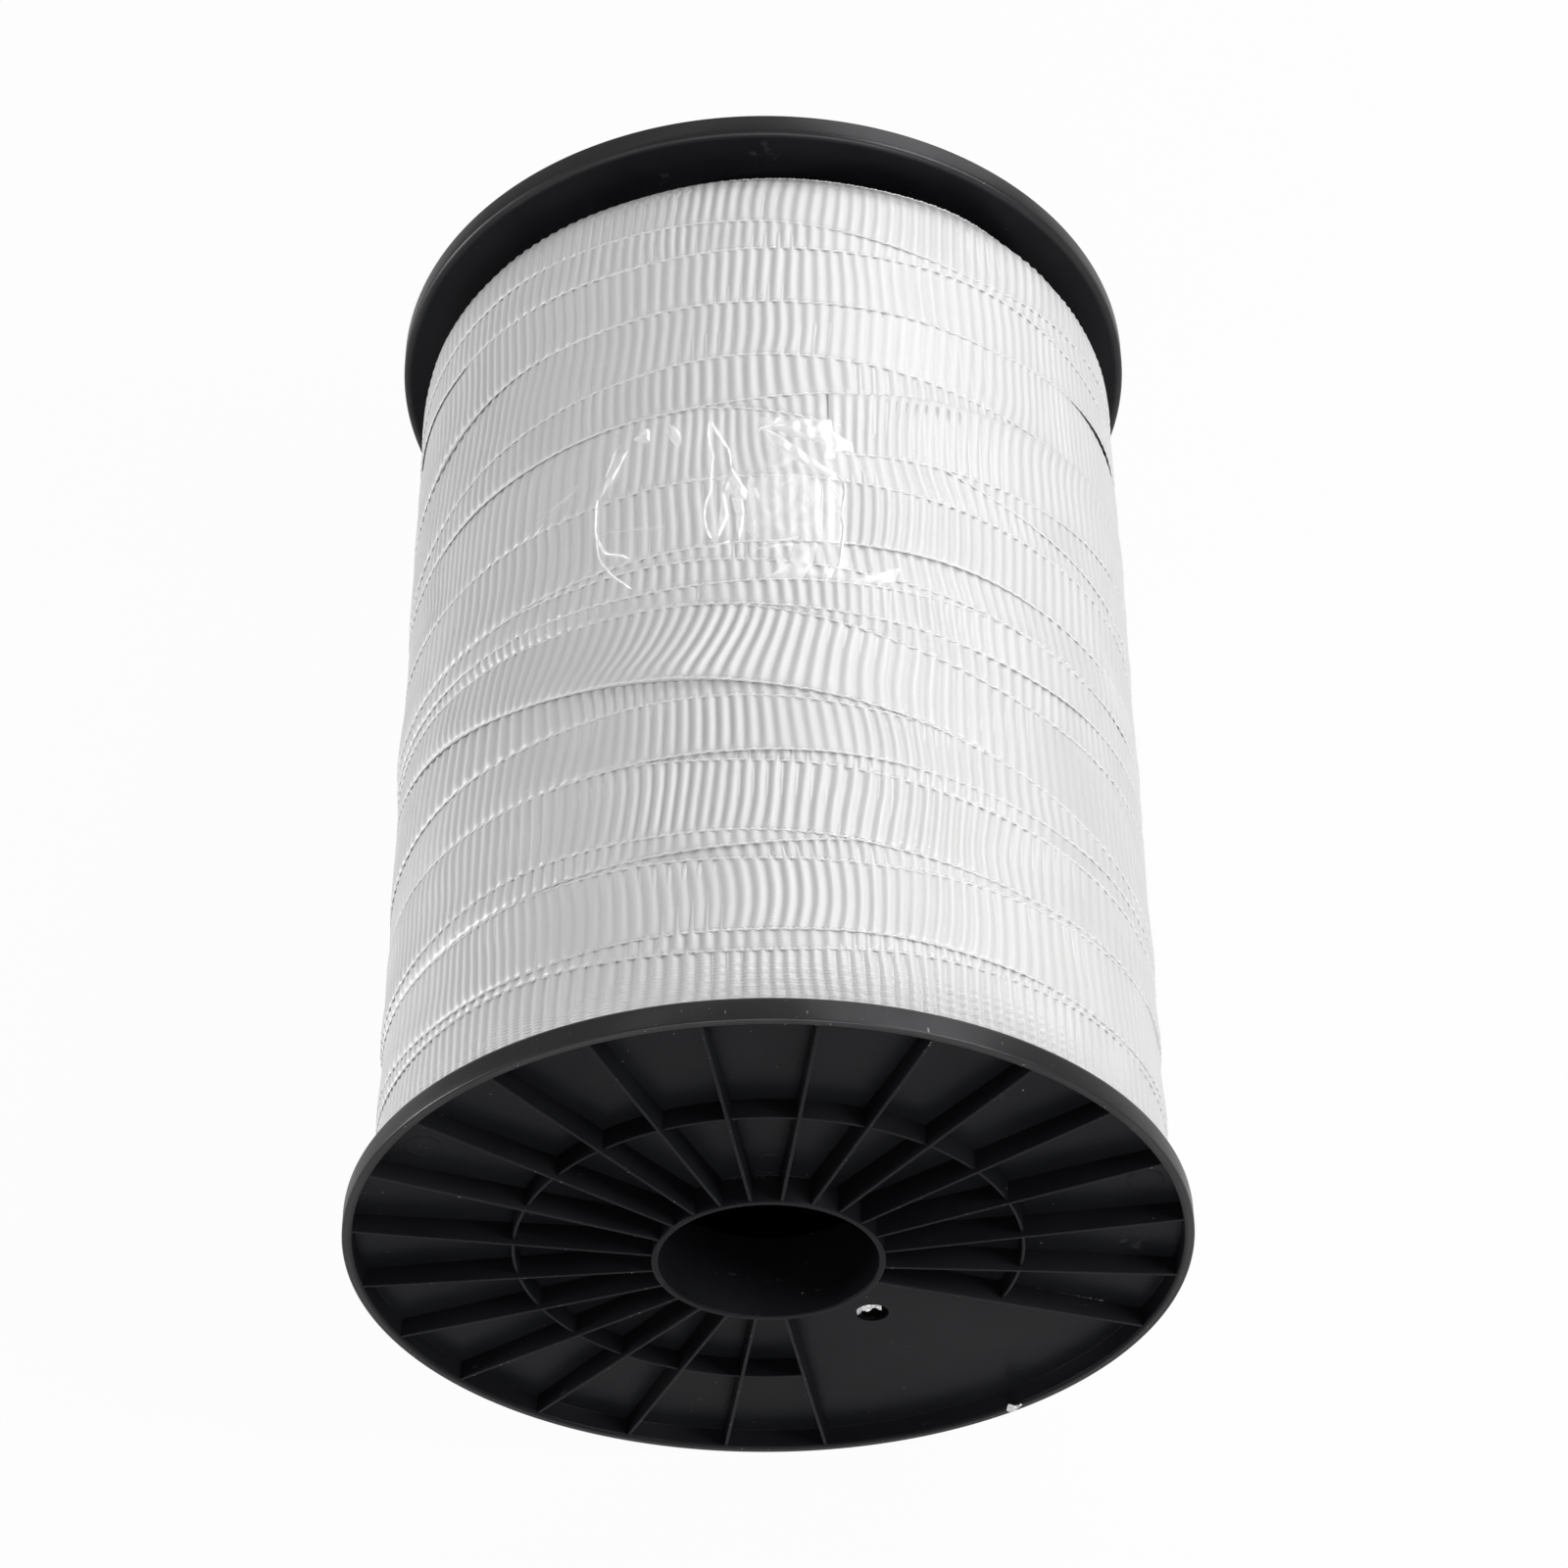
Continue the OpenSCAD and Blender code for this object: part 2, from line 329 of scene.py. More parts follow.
def tape_cloth(name, white, shaded, roughness, yarn_strength, sheen):
    """Woven yarn in a white tone and a shaded one, read from the mesh's lay coordinates; the stored
    tone paints the shaded one into rib valleys and cord grooves as painted shade.
    """
    material, start = new_material(name)
    lay = start.stored("lay", vector=True)
    along, across, tone = lay.split()
    turn = 2 * math.pi / MM
    wander = lay.noise(160, 2)
    yarns = (across * (turn / YARN_PITCH) + wander * 6.0).sine()
    picks = (along * (turn / PICK_PITCH) + across * (turn / PICK_SLANT)).sine()
    grain = lay.noise(1500, 2)
    lines = (across * (turn / LINE_PITCH) + wander * 2.0).sine()
    _, y, _ = start.place().split()
    even = y.step((CROWDED_TO - RIM_SPAN / 2) * MM, (EVEN_FROM - RIM_SPAN / 2) * MM)
    crowded = 1 - even + lay.noise(9, 2).step(0.5, 0.7) * 0.5
    height = yarns * 0.5 + picks * 0.45 + grain * 0.6 + crowded * lines * 4
    soft = lay.noise(45, 3)
    # Painted shade: the stored tone puts the shaded colour into the rib valleys and the cord's grooves,
    # and random tone is mixed in
    colour = (tone * 0.7 + soft * 0.3).step(0.1, 0.8).blend(shaded, white)
    bump = start.add("Bump", None, {
        "Strength": yarn_strength, "Distance": YARN_RISE * MM, "Height": height})
    surface(start, start.add("BsdfPrincipled", None, {
        "Base Color": colour,
        "Roughness": roughness + grain * 0.12,
        "Metallic": sheen,
        "Normal": bump,
    }))
    return material


tape_white = tape_cloth(
    "tape_weave", (0.8, 0.8, 0.798, 1), (0.72, 0.72, 0.718, 1), 0.37, 1.0, 0.36)
cord_white = tape_cloth(
    "selvedge_cord", (0.98, 0.98, 0.975, 1), (0.76, 0.76, 0.757, 1), 0.4, 0.2, 0.15)
print("weave:", len(tape_white.node_tree.nodes), "nodes")

# %% [markdown]
# ## Clear film
# A patch of adhesive film holds the tape's end. Glass shading would be slow and would turn
# dark in its folds, so the film is a glossy skin that is mostly see-through. Each point of its
# mesh carries a number, its body, from clear to milky white: the flat skin has hardly any, and
# a fold or a doubled flap has more, which is how crumpled film looks. On the folds that white
# is also a painted glint.

# %% Film and its creases
def clear_film(name, polish, mirror):
    """Film whose attribute "body" says how much of it shows, from clear to milky white; on the folds
    that white is also a painted glint.
    """
    material, start = new_material(name)
    place = start.place()
    cloud = place.noise(70, 3)
    bump = start.add("Bump", None, {
        "Strength": 0.35, "Distance": 0.0004, "Height": place.noise(240, 2)})
    surface(start, start.add("BsdfPrincipled", None, {
        "Base Color": (0.97, 0.97, 0.97, 1),
        "Metallic": mirror,
        "Roughness": polish + 0.15 * cloud,
        "Alpha": start.stored("body") * (0.6 + 0.8 * cloud),
        "Normal": bump,
    }))
    return material


film_clear = clear_film("film_skin", 0.25, 0.8)
film_crease = clear_film("film_fold", 0.25, 0.35)
print("film:", len(film_clear.node_tree.nodes), "nodes")

# %% [markdown]
# ## Flanges
# Each flange is one moulding: a rim, a thin web, a hub ring with its bore tube, and ribs
# that stiffen the web. Its round parts are one section turned about the axis, with the small
# rounds and the draft a mould needs, because those rounds catch the light. A box-like rim
# would show no bright line along its edge.

# %% Section of the round parts: distance from the axis, and height over the rim plane
BACK_ROUND, FRONT_ROUND, INNER_ROUND = 1.5, 0.45, 0.8
ROOT_ROUND, HUB_ROUND, BORE_ROUND = 0.25, 0.3, 0.4
RIM_DRAFT, HUB_DRAFT, TUBE_DRAFT = 0.25, 0.15, 0.1
TUBE_DEPTH, COLLAR_IN, COLLAR_OUT, COLLAR_LENGTH = 20.0, 33.85, 35.85, 12.0


def arc(centre_r, centre_h, radius, start_deg, end_deg, count):
    """Points (distance from the axis, height) on an arc, for a turned section."""
    angles = np.radians(np.linspace(start_deg, end_deg, count))
    return [(centre_r + radius * math.cos(a), centre_h + radius * math.sin(a)) for a in angles]


rim_in = FLANGE_R - RIM_WALL
hub_out = BORE_R + HUB_WALL
web_back, collar_end = -RIM_WIDTH, -RIM_WIDTH - COLLAR_LENGTH
root = ROOT_ROUND - FLOOR_DEPTH
flange_section = (
    arc(FLANGE_R - BACK_ROUND, web_back + BACK_ROUND, BACK_ROUND, -90, 0, 6)
    + arc(FLANGE_R - FRONT_ROUND, -FRONT_ROUND, FRONT_ROUND, 0, 90, 4)
    + arc(rim_in + INNER_ROUND, -INNER_ROUND, INNER_ROUND, 90, 180, 5)
    + arc(rim_in - RIM_DRAFT - ROOT_ROUND, root, ROOT_ROUND, 0, -90, 3)
    + arc(hub_out + HUB_DRAFT + ROOT_ROUND, root, ROOT_ROUND, -90, -180, 3)
    + arc(hub_out - HUB_ROUND, HUB_PROUD - HUB_ROUND, HUB_ROUND, 0, 90, 3)
    + arc(BORE_R + BORE_ROUND, HUB_PROUD - BORE_ROUND, BORE_ROUND, 90, 180, 4)
    + [(BORE_R, -TUBE_DEPTH), (hub_out, -TUBE_DEPTH), (hub_out + TUBE_DRAFT, web_back)]
    + [(COLLAR_IN, web_back), (COLLAR_IN, collar_end), (COLLAR_OUT, collar_end), (COLLAR_OUT, web_back)]
)
print("flange section:", len(flange_section), "points")


# %% Turn the section, cut the hole for the tape's first end
def turned(section, steps=256, from_deg=0.0, to_deg=360.0):
    """A section carried round the z axis, in millimetres."""
    whole = to_deg - from_deg >= 360
    angles = np.radians(np.linspace(from_deg, to_deg, steps, endpoint=not whole))
    r, h = np.array(section).T
    rings = [np.stack([r * math.cos(a), r * math.sin(a), h], -1) for a in angles]
    return swept(rings, closed_path=whole)


START_R, START_DEG, START_HOLE_R, START_CHAMFER = 44.5, 301.0, 4.0, 0.25
start_x, start_y = polar(START_R, START_DEG)


def with_start_hole(points, faces):
    """The moulding less a round hole through its web."""
    body = new_object("blank", new_mesh("blank", points, outward(points, faces)))
    mouth = START_HOLE_R + START_CHAMFER
    # Distance from the hole's axis, and height: from under the web to over its top
    section = [(0.001, -8.0), (START_HOLE_R, -8.0), (START_HOLE_R, -5.1), (mouth, -4.8),
               (mouth, -3.0), (0.001, -3.0)]
    drill_points, drill_faces = turned(section, 40)
    drill_points = drill_points + (start_x, start_y, 0)
    drill = new_object("drill", new_mesh("drill", drill_points, outward(drill_points, drill_faces)))
    cut = body.modifiers.new("hole", "BOOLEAN")
    cut.operation, cut.object, cut.solver = "DIFFERENCE", drill, "EXACT"
    bpy.context.view_layer.update()
    made = bpy.data.meshes.new_from_object(
        body.evaluated_get(bpy.context.evaluated_depsgraph_get()))
    result = (np.array([v.co[:] for v in made.vertices]), [list(p.vertices) for p in made.polygons])
    for spent in (body, drill):
        bpy.data.objects.remove(spent)
    return result


flange_round = with_start_hole(*turned(flange_section))
print("round parts with the hole:", len(flange_round[1]), "faces")

# %% [markdown]
# ### Ribs
# Every radial rib falls from the hub ring to the rim and is thinner at its crest, so that
# the moulding comes out of its tool. The crest has a small round, which is what shows as a
# fine light line. Three places are left plain, where the tape's first end comes through.

# %% Radial ribs, the ring rib and the ejector marks
RIB_STEP, FIRST_RIB_DEG, RIBS = 15.0, 335.0, 21
RIB_HALF, RING_R = 0.43, 60.0


def crest_height(r):
    """Height of a radial rib over the rim plane: it falls from the hub ring to the rim."""
    return np.interp(r, [BORE_R + 0.8, FLANGE_R - 1.25], [HUB_PROUD - 0.2, -0.4])


def rib_section(half, crest):
    """Across a rib: (offset, height) from its root in the web, over the crest and down."""
    side = [(half + 0.14, -FLOOR_DEPTH - 0.2), (half, crest - 0.2), (half - 0.05, crest - 0.06),
            (half - 0.18, crest)]
    return side + [(-x, h) for x, h in side[::-1]]


def radial_rib(angle_deg):
    """One rib from the hub ring to the rim, with its crest falling outwards."""
    stations = np.linspace(BORE_R + 0.9, FLANGE_R - 1.6, 9)
    rings = [[(r, x, h) for x, h in rib_section(RIB_HALF, crest_height(r))] for r in stations]
    c, s = polar(1, angle_deg)
    rotate = np.array([[c, s, 0], [-s, c, 0], [0, 0, 1]])
    points, faces = swept(rings)
    return points @ rotate, outward(points, faces)


ring_loop = [(RING_R + x, h) for x, h in rib_section(RIB_HALF - 0.04, -0.2)]
ring_points, ring_faces = turned(ring_loop, 180, FIRST_RIB_DEG - 360, FIRST_RIB_DEG - 60)
parts = [flange_round, (ring_points, outward(ring_points, ring_faces))]
parts += [radial_rib(FIRST_RIB_DEG + k * RIB_STEP) for k in range(RIBS)]
# Pins that push the moulding out of its tool leave shallow rings: (distance, angle)
for mark_r, mark_deg in [(90.6, 12.5), (88.6, 148.6), (32.6, 86.0)]:
    lip = [(3.5, -5.05), (3.75, -4.9), (4.0, -4.87), (4.25, -4.92), (4.4, -5.05)]
    mark_points, mark_faces = turned(lip, 36)
    parts.append((mark_points + (*polar(mark_r, mark_deg), 0), outward(mark_points, mark_faces)))
flange_points, flange_faces = merged(parts)
print("flange:", len(flange_faces), "faces")

# %% Stand both flanges in their places
upright = Matrix.Translation((0, 0, FLANGE_R * MM)) @ Matrix.Rotation(math.radians(90), 4, "X")
near_place = upright @ Matrix.Translation((0, 0, RIM_SPAN / 2 * MM))
far_place = (upright @ Matrix.Translation((0, 0, -RIM_SPAN / 2 * MM))
             @ Matrix.Rotation(math.radians(FAR_TURN), 4, "Z") @ Matrix.Rotation(math.pi, 4, "X"))


def standing(points, place):
    """Points drawn on a flange's plan in millimetres, in metres where that flange stands."""
    spot = np.array(place)
    return points * MM @ spot[:3, :3].T + spot[:3, 3]


for name, node, place in (("flange_near", "near_flange", near_place),
                          ("flange_far", "far_flange", far_place)):
    flange = add_piece(name, standing(flange_points, place), flange_faces, black_plastic,
                       32, solid=False)
    for face in flange.data.polygons:
        face.use_smooth = abs(face.normal.y) < 0.999
    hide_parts(node)
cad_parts["core_tube"].data.materials.clear()
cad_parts["core_tube"].data.materials.append(tube_plastic)
print("flanges stand at", near_place.translation.y, "and", far_place.translation.y)

# %% [markdown]
# ## How the tape lies
# The tape is one strip. It starts at the near flange and goes round and round towards the
# far one, each turn lapping over the turn before. A turn's height therefore depends on what
# is already under it. The way to get that right is to lay the turns one by one on a height
# map of the winding: a turn rests on what the map holds, softened by the tape's stiffness,
# and then it is added to the map itself.

# %% Where each turn's near edge runs, in millimetres from the near rim
# Columns: 10, 50, 90, 130 and 170 degrees round the top, right to left
EDGES = {
    "01": (7, 7, 7, 7, 7),
    "02": (8, 8, 8, 8.5, 9),
    "03": (26, 26, 22.5, 26, 27),
    "04": (27.5, 28, 27.5, 27.5, 32),
    "05": (49, 48.6, 47.1, 50, 51),
    "06": (60, 57.5, 50.8, 48.5, 49),
    "07": (50, 50.5, 55.3, 56.2, 51),
    "08": (66, 70.3, 75.5, 81, 83),
    "09": (71, 75.8, 77.2, 77.8, 78),
    "10": (84, 89, 94, 93.5, 90),
    "11": (74, 86.8, 97.4, 106.2, 117),
    "12": (106.5, 107.2, 121.5, 127, 130),
    "13": (117.5, 116.7, 121.3, 124.5, 125),
    "14": (130, 129.5, 128.2, 128.3, 128),
    "15": (128.3, 129.8, 134.5, 136.5, 136),
    "16": (139.5, 141.4, 140.5, 135.9, 132.5),
    "17": (160, 160.9, 162.2, 158.2, 157),
    "18": (163, 168.5, 185, 189, 190),
    "19": (199, 196.2, 185.5, 182, 175),
    "20": (200.5, 198.7, 202, 194.3, 180),
    "21": (231, 220.5, 220.3, 217.7, 203),
    "22": (240, 240.5, 237.8, 238.3, 238),
    "23": (252, 242.5, 248.5, 252.2, 248),
}
EDGE_DEGREES = np.array([10, 50, 90, 130, 170])
# Stretches where a near edge stands clear: middle in degrees, half width, height
LIFTS = {"11": [(103, 20, 2.8), (140, 16, 1.4)], "09": [(88, 20, 0.9)],
         "21": [(144, 14, 1.3)], "19": [(126, 20, 0.8)], "16": [(60, 18, 0.7)],
         "13": [(40, 14, 0.8)], "06": [(95, 10, 0.8)], "04": [(60, 20, 0.5)]}
END_EDGE = [(-150, 244), (-90, 219), (-30, 193), (10, 181), (50, 173), (68, 171.4), (77.3, 168.5)]
END_DEG = 77.3

# %% A smooth path through those edges, unbroken from turn to turn
FIRST_DEG = -90.0  # a turn is counted from the reel's underside
COARSE = 360
NEAR_LIMIT, FAR_LIMIT = 6.7, 274.2  # the winding lies between these distances from the rim


def smooth_noise(count, spread, rows=None):
    """Random values that change over about `spread` samples, of about unit size."""
    shape = (count + 6 * spread,) + (() if rows is None else (rows,))
    values = rng.standard_normal(shape)
    reach = np.arange(-3 * spread, 3 * spread + 1)
    bell = np.exp(-0.5 * (reach / spread) ** 2)
    bell /= math.sqrt((bell**2).sum())
    if rows is None:
        return np.convolve(values, bell, "valid")[:count]
    return np.stack([np.convolve(v, bell, "valid")[:count] for v in values.T], -1)


def softened(values, reach):
    """A running mean over 2 * reach + 1 samples along the first axis, twice."""
    for _ in range(2):
        padded = np.concatenate([values[:1].repeat(reach, 0), values, values[-1:].repeat(reach, 0)])
        total = np.cumsum(np.concatenate([np.zeros_like(padded[:1]), padded]), 0)
        values = (total[2 * reach + 1:] - total[:-2 * reach - 1]) / (2 * reach + 1)
    return values


names = sorted(EDGES)
knots = np.concatenate([EDGE_DEGREES + 360 * k for k in range(len(names))])
heights = np.concatenate([EDGES[name] for name in names])
path_degrees = FIRST_DEG + np.arange(COARSE * len(names) + 1)
path = softened(np.interp(path_degrees, knots, heights), 9)
path += 0.35 * smooth_noise(len(path), 9)
path[:COARSE] = np.maximum(path[:COARSE], NEAR_LIMIT)
print(f"{len(names)} turns, {len(names) * 2 * math.pi * 0.094:.1f} m of tape on top")

# %% The height map, with the inner layers and the worn shoulder at the far end
ROW = 0.5  # millimetres of reel axis to a row of the map
rows_y = np.arange(6.4, 274.6, ROW)
OUTER_R, SHOULDER_FROM, SHOULDER_DROP = 94.2, 258.0, 15.0
round_deg = FIRST_DEG + np.arange(COARSE)
drop = np.clip((rows_y - SHOULDER_FROM) / (rows_y[-1] - SHOULDER_FROM), 0, 1) ** 1.6
shoulder = SHOULDER_DROP * drop
lopsided = 0.9 * np.cos(np.radians(round_deg))[:, None]
winding = np.zeros((COARSE, len(rows_y)))
print(f"map of {winding.shape[0]} by {winding.shape[1]} cells")


# %% Lay one turn on the map
ACROSS = np.arange(0, TAPE_WIDTH + 0.01, 1.0)
HUG_WIDTH = 4.0  # the near edge hugs what lies under it over this width, in millimetres


def between(grid, column, row):
    """A grid's value at any column and row between its cells."""
    c = np.minimum(column.astype(int), grid.shape[0] - 2)
    r = np.minimum(row.astype(int), grid.shape[1] - 2)
    part_c, part_r = column - c, row - r
    here = grid[c, r] * (1 - part_r) + grid[c, r + 1] * part_r
    ahead = grid[c + 1, r] * (1 - part_r) + grid[c + 1, r + 1] * part_r
    return here * (1 - part_c) + ahead * part_c


def read_map(column, y):
    """Height of the winding at whole columns and any distance y, column by column."""
    row = np.clip((y - rows_y[0]) / ROW, 0, len(rows_y) - 1.001)
    return between(winding, column[:, None], row)


def raised(values, reach):
    """The highest value within reach samples, across the tape."""
    best = values.copy()
    for shift in range(1, reach + 1):
        best[:, shift:] = np.maximum(best[:, shift:], values[:, :-shift])
        best[:, :-shift] = np.maximum(best[:, :-shift], values[:, shift:])
    return best


def lay_turn(column, near, lift, squeeze):
    """Radius of the tape's top and how far it stands clear, for each column and each of
    ACROSS; adds the tape to the map."""
    y = near[:, None] + ACROSS[None, :] * squeeze[:, None]
    support = raised(read_map(column, y), 2)
    support = softened(support.T, 2).T
    support = softened(support, 3)
    local = read_map(column, y)
    hug = np.clip(1 - ACROSS / HUG_WIDTH, 0, 1)[None, :]
    support = np.maximum(support, local + 0.02)
    support = support * (1 - hug) + (softened(local, 2) + 0.05) * hug
    rise = np.clip(ACROSS / HUG_WIDTH, 0, 1)
    fall = (0.6 + 0.4 * rise**2 * (3 - 2 * rise)) * (1 - ACROSS / TAPE_WIDTH) ** 2
    clear = np.maximum(lift[:, None], 0) * fall[None, :]
    top = support + TAPE_THICK + lift[:, None] * fall[None, :]
    for i, c in enumerate(column):
        inside = (rows_y >= y[i, 0] - 0.2) & (rows_y <= y[i, -1] + 0.2)
        winding[c, inside] = np.maximum(
            winding[c, inside], np.interp(rows_y[inside], y[i], top[i]))
    return top, clear


def bumps(degrees, stretches):
    """Smooth humps: each is a middle, a half width and a height."""
    total = np.zeros(len(degrees))
    for middle, half, height in stretches:
        total += height * np.exp(-0.5 * ((degrees - middle) / (half * 0.6)) ** 2)
    return total


def lay_all(with_lifts):
    """Every outer turn in order: its angles, near edge, squeeze, top and clearance."""
    laid = {}
    for k, name in enumerate(names):
        span = slice(k * COARSE, (k + 1) * COARSE + 1)
        degrees = path_degrees[span] - 360 * k
        column = np.arange(COARSE + 1) % COARSE
        near = path[span]
        squeeze = np.clip((FAR_LIMIT - near) / TAPE_WIDTH, 0.6, 1.0)
        ease = np.clip(np.minimum(degrees - FIRST_DEG, 270 - degrees) / 40, 0, 1)
        lift = bumps(degrees, LIFTS.get(name, [])) + 0.1 * np.abs(smooth_noise(COARSE + 1, 7))
        lift = lift * ease if with_lifts else 0 * lift
        laid[name] = [degrees, near, squeeze, *lay_turn(column, near, lift, squeeze)]
    return laid


# The inner layers fill the hollows of the outer ones, so the first lay measures the pile
lay_all(False)
pile = softened(softened(winding, 8).T, 12).T
inner = OUTER_R + lopsided - shoulder[None, :] - pile
winding[:] = inner
laid_turns = lay_all(True)
print(f"winding: mean radius {winding.mean():.1f} mm, highest {winding.max():.1f} mm")

# %% Join each turn to the next one on the reel's underside
JOIN = 45
fade = (1 - np.arange(JOIN) / JOIN) ** 2 * (1 + 2 * np.arange(JOIN) / JOIN)
for earlier, later in zip(names[:-1], names[1:]):
    end_top, start_top = laid_turns[earlier][3], laid_turns[later][3]
    middle = (end_top[-1] + start_top[0]) / 2
    end_top[-JOIN:] += (middle - end_top[-1]) * fade[::-1, None]
    start_top[:JOIN] += (middle - start_top[0]) * fade[:, None]

# %% [markdown]
# ## Ribs of the weave
# About 180 cross ribs go round one turn. A rib is a low wave, which shows as a wide band
# where it faces the light and as a thin bright line where only its flank does. The mesh's
# columns are the ribs themselves, eight to a rib, and every rib is bent, leant and crowded
# by moving its columns round the reel. The weave's own coordinates then bend with it.

# %% Columns that follow the ribs
RIBS_ROUND = 182
RIB_PITCH = 2 * math.pi * OUTER_R / RIBS_ROUND
RIB_HEIGHT, EDGE_WIDTH = 0.4, 1.4  # ribs get lower over this width of a tape's edge
ON_RIB = np.arange(8) / 8
CROWN = np.sin(math.pi * ON_RIB) ** 2
TOP_ROWS = np.array([0, 0.6, 1.6, 3.6, 6.6, 10.6, 14.6, 18.6, 22.4, 24.4, 25.0])
UNDER_ROWS = np.array([25.0, 15.0, 4.0, 0.2])
ROWS = np.concatenate([TOP_ROWS, UNDER_ROWS])
# Stretches where a near edge was dragged along: middle in degrees, half width, ribs
PULLS = {"11": [(99, 20, 2.0), (122, 12, 0.5)], "10": [(120, 18, -1.3), (60, 12, 1.4)],
         "09": [(70, 14, -0.6)], "12": [(96, 16, 0.8)], "21": [(140, 16, -0.8)]}


def rib_noise(ribs, spread, at, rows=None):
    """Random curve that changes over some ribs, read at places between them."""
    curve = smooth_noise(ribs + 1, spread, rows)
    if rows is None:
        return np.interp(at, np.arange(ribs + 1), curve)[:, None]
    return np.stack([np.interp(at, np.arange(ribs + 1), c) for c in curve.T], -1)


def rib_columns(first, last, pulls):
    """Rib numbers of the columns, their angles row by row, and the crowns' height."""
    ribs = round((last - first) / 360 * RIBS_ROUND)
    at = np.append((np.arange(ribs)[:, None] + ON_RIB).ravel(), ribs)
    crown = np.append(np.tile(CROWN, ribs), CROWN[0])
    half = ROWS / TAPE_WIDTH - 0.5
    corners = np.stack([np.clip(1 - np.abs(half * 3 + 1.5 - j), 0, 1) for j in range(4)])
    # The ribs drift, lean, bow and wave, each over its own number of ribs
    shift = 0.8 * rib_noise(ribs, 7, at) + 0.55 * rib_noise(ribs, 9, at) * half
    shift = shift + 0.16 * rib_noise(ribs, 6, at) * (1 - 4 * half**2)
    shift = shift + 0.09 * rib_noise(ribs, 2, at, 4) @ corners
    step = (last - first) / ribs
    dragged = bumps(first + at * step, pulls)[:, None] * (0.5 - half) ** 1.5
    shift = (shift + dragged) * np.clip(np.minimum(at, ribs - at) / 9, 0, 1)[:, None]
    strength = 1 + 0.16 * rib_noise(ribs, 3, at) + 0.12 * rib_noise(ribs, 1, at)
    return at, first + (at[:, None] + shift) * step, crown[:, None] * np.clip(strength, 0.5, 1.5)


# %% Places on the reel
def on_reel(degrees, radius, y):
    """Points in metres from an angle round the reel, a radius and a distance from the rim."""
    a = np.radians(degrees)
    return np.stack([radius * np.cos(a) * MM + 0 * y, (y - RIM_SPAN / 2) * MM + 0 * radius * a,
                     (FLANGE_R + radius * np.sin(a)) * MM + 0 * y], -1)


# %% Mesh of one turn: a thin ribbed strip with an edge cord
def strip(degrees, near, squeeze, top, clear, cords, pulls):
    """Points, faces and lay coordinates of a stretch of tape and of its cords."""
    at, angle, crown = rib_columns(degrees[0], degrees[-1], pulls)
    y = np.interp(angle, degrees, near) + ROWS * np.interp(angle, degrees, squeeze)
    column = np.clip(angle - degrees[0], 0, len(degrees) - 1.001)
    radius = between(top, column, ROWS)
    shown = len(TOP_ROWS)
    edge = np.clip(np.minimum(TOP_ROWS, TAPE_WIDTH - TOP_ROWS) / EDGE_WIDTH, 0.4, 1)
    radius[:, :shown] += RIB_HEIGHT * (crown - 0.5) * edge
    radius[:, shown:] -= TAPE_THICK + between(clear, column, ROWS)[:, shown:]
    for row, drop in ((0, 0.3), (1, 0.1), (shown - 1, 0.3)):  # the edges are pressed down
        radius[:, row] -= drop
    # Painted shade: the rib valleys get the darker tone and the crowns the whiter one, with a random
    # tone for each turn mixed in
    tone = 0.3 * rng.random() + 0.7 * crown + 0 * radius
    lay = np.stack([at[:, None] * RIB_PITCH * MM + 0 * radius, ROWS * MM + 0 * radius, tone], -1)
    parts, lays = [swept(on_reel(angle, radius, y))], [lay.reshape(-1, 3)]
    for which in cords:
        row, out = (0, -0.05) if which == "near" else (shown - 1, 0.05)
        strands, strand_lays = selvedge(angle[:, row], radius[:, row] + 0.1, y[:, row] + out)
        parts += strands
        lays += strand_lays
    return parts, lays


# %% [markdown]
# ### Edge cord
# Each edge of the tape is bound by a thin cord, and on the reel it shows as a row of small
# white dashes where one turn laps over another. One twisted tube would give a plain line, so
# two strands are wound round each other and pressed a little flat. Both are painted darker
# towards the groove between them and the second strand darker all over: painted shade that
# breaks the cord into dashes.

# %% Two strands along an edge
STRAND_R, STRAND_OUT, CORD_FLATTEN = 0.21, 0.19, 0.6
TWIST, PER_TWIST, STRAND_SIDES = 2.5, 7, 5


def selvedge(angle, radius, y):
    """Rings of both strands, one after the other, and their lay coordinates."""
    length = (angle[-1] - angle[0]) * math.pi / 180 * OUTER_R
    count = int(length / TWIST * PER_TWIST)
    at = np.linspace(0, len(angle) - 1, count)
    index = np.arange(len(angle))
    a, r, place = (np.interp(at, index, v)[:, None] for v in (angle, radius, y))
    turn = (np.arange(count) * 2 * math.pi / PER_TWIST + 0.4 * smooth_noise(count, 14))[:, None]
    side = np.arange(STRAND_SIDES)[None, :] * 2 * math.pi / STRAND_SIDES
    strands, lays = [], []
    for start, white in ((0.0, 1.0), (math.pi, 0.5)):
        up = STRAND_OUT * np.sin(turn + start) + STRAND_R * np.sin(side)
        out = STRAND_OUT * np.cos(turn + start) + STRAND_R * np.cos(side)
        strands.append(swept(on_reel(a, r + CORD_FLATTEN * up, place + out)))
        # Painted shade: both are painted darker towards the groove between them, and the second strand
        # is darker all over
        tone = white * np.hypot(up, out) / (STRAND_R + STRAND_OUT)
        lay = [a * OUTER_R * math.pi / 180 * MM + 0 * out, 0.2 * MM * side + 0 * out, tone]
        lays.append(np.stack(lay, -1).reshape(-1, 3))
    return strands, lays


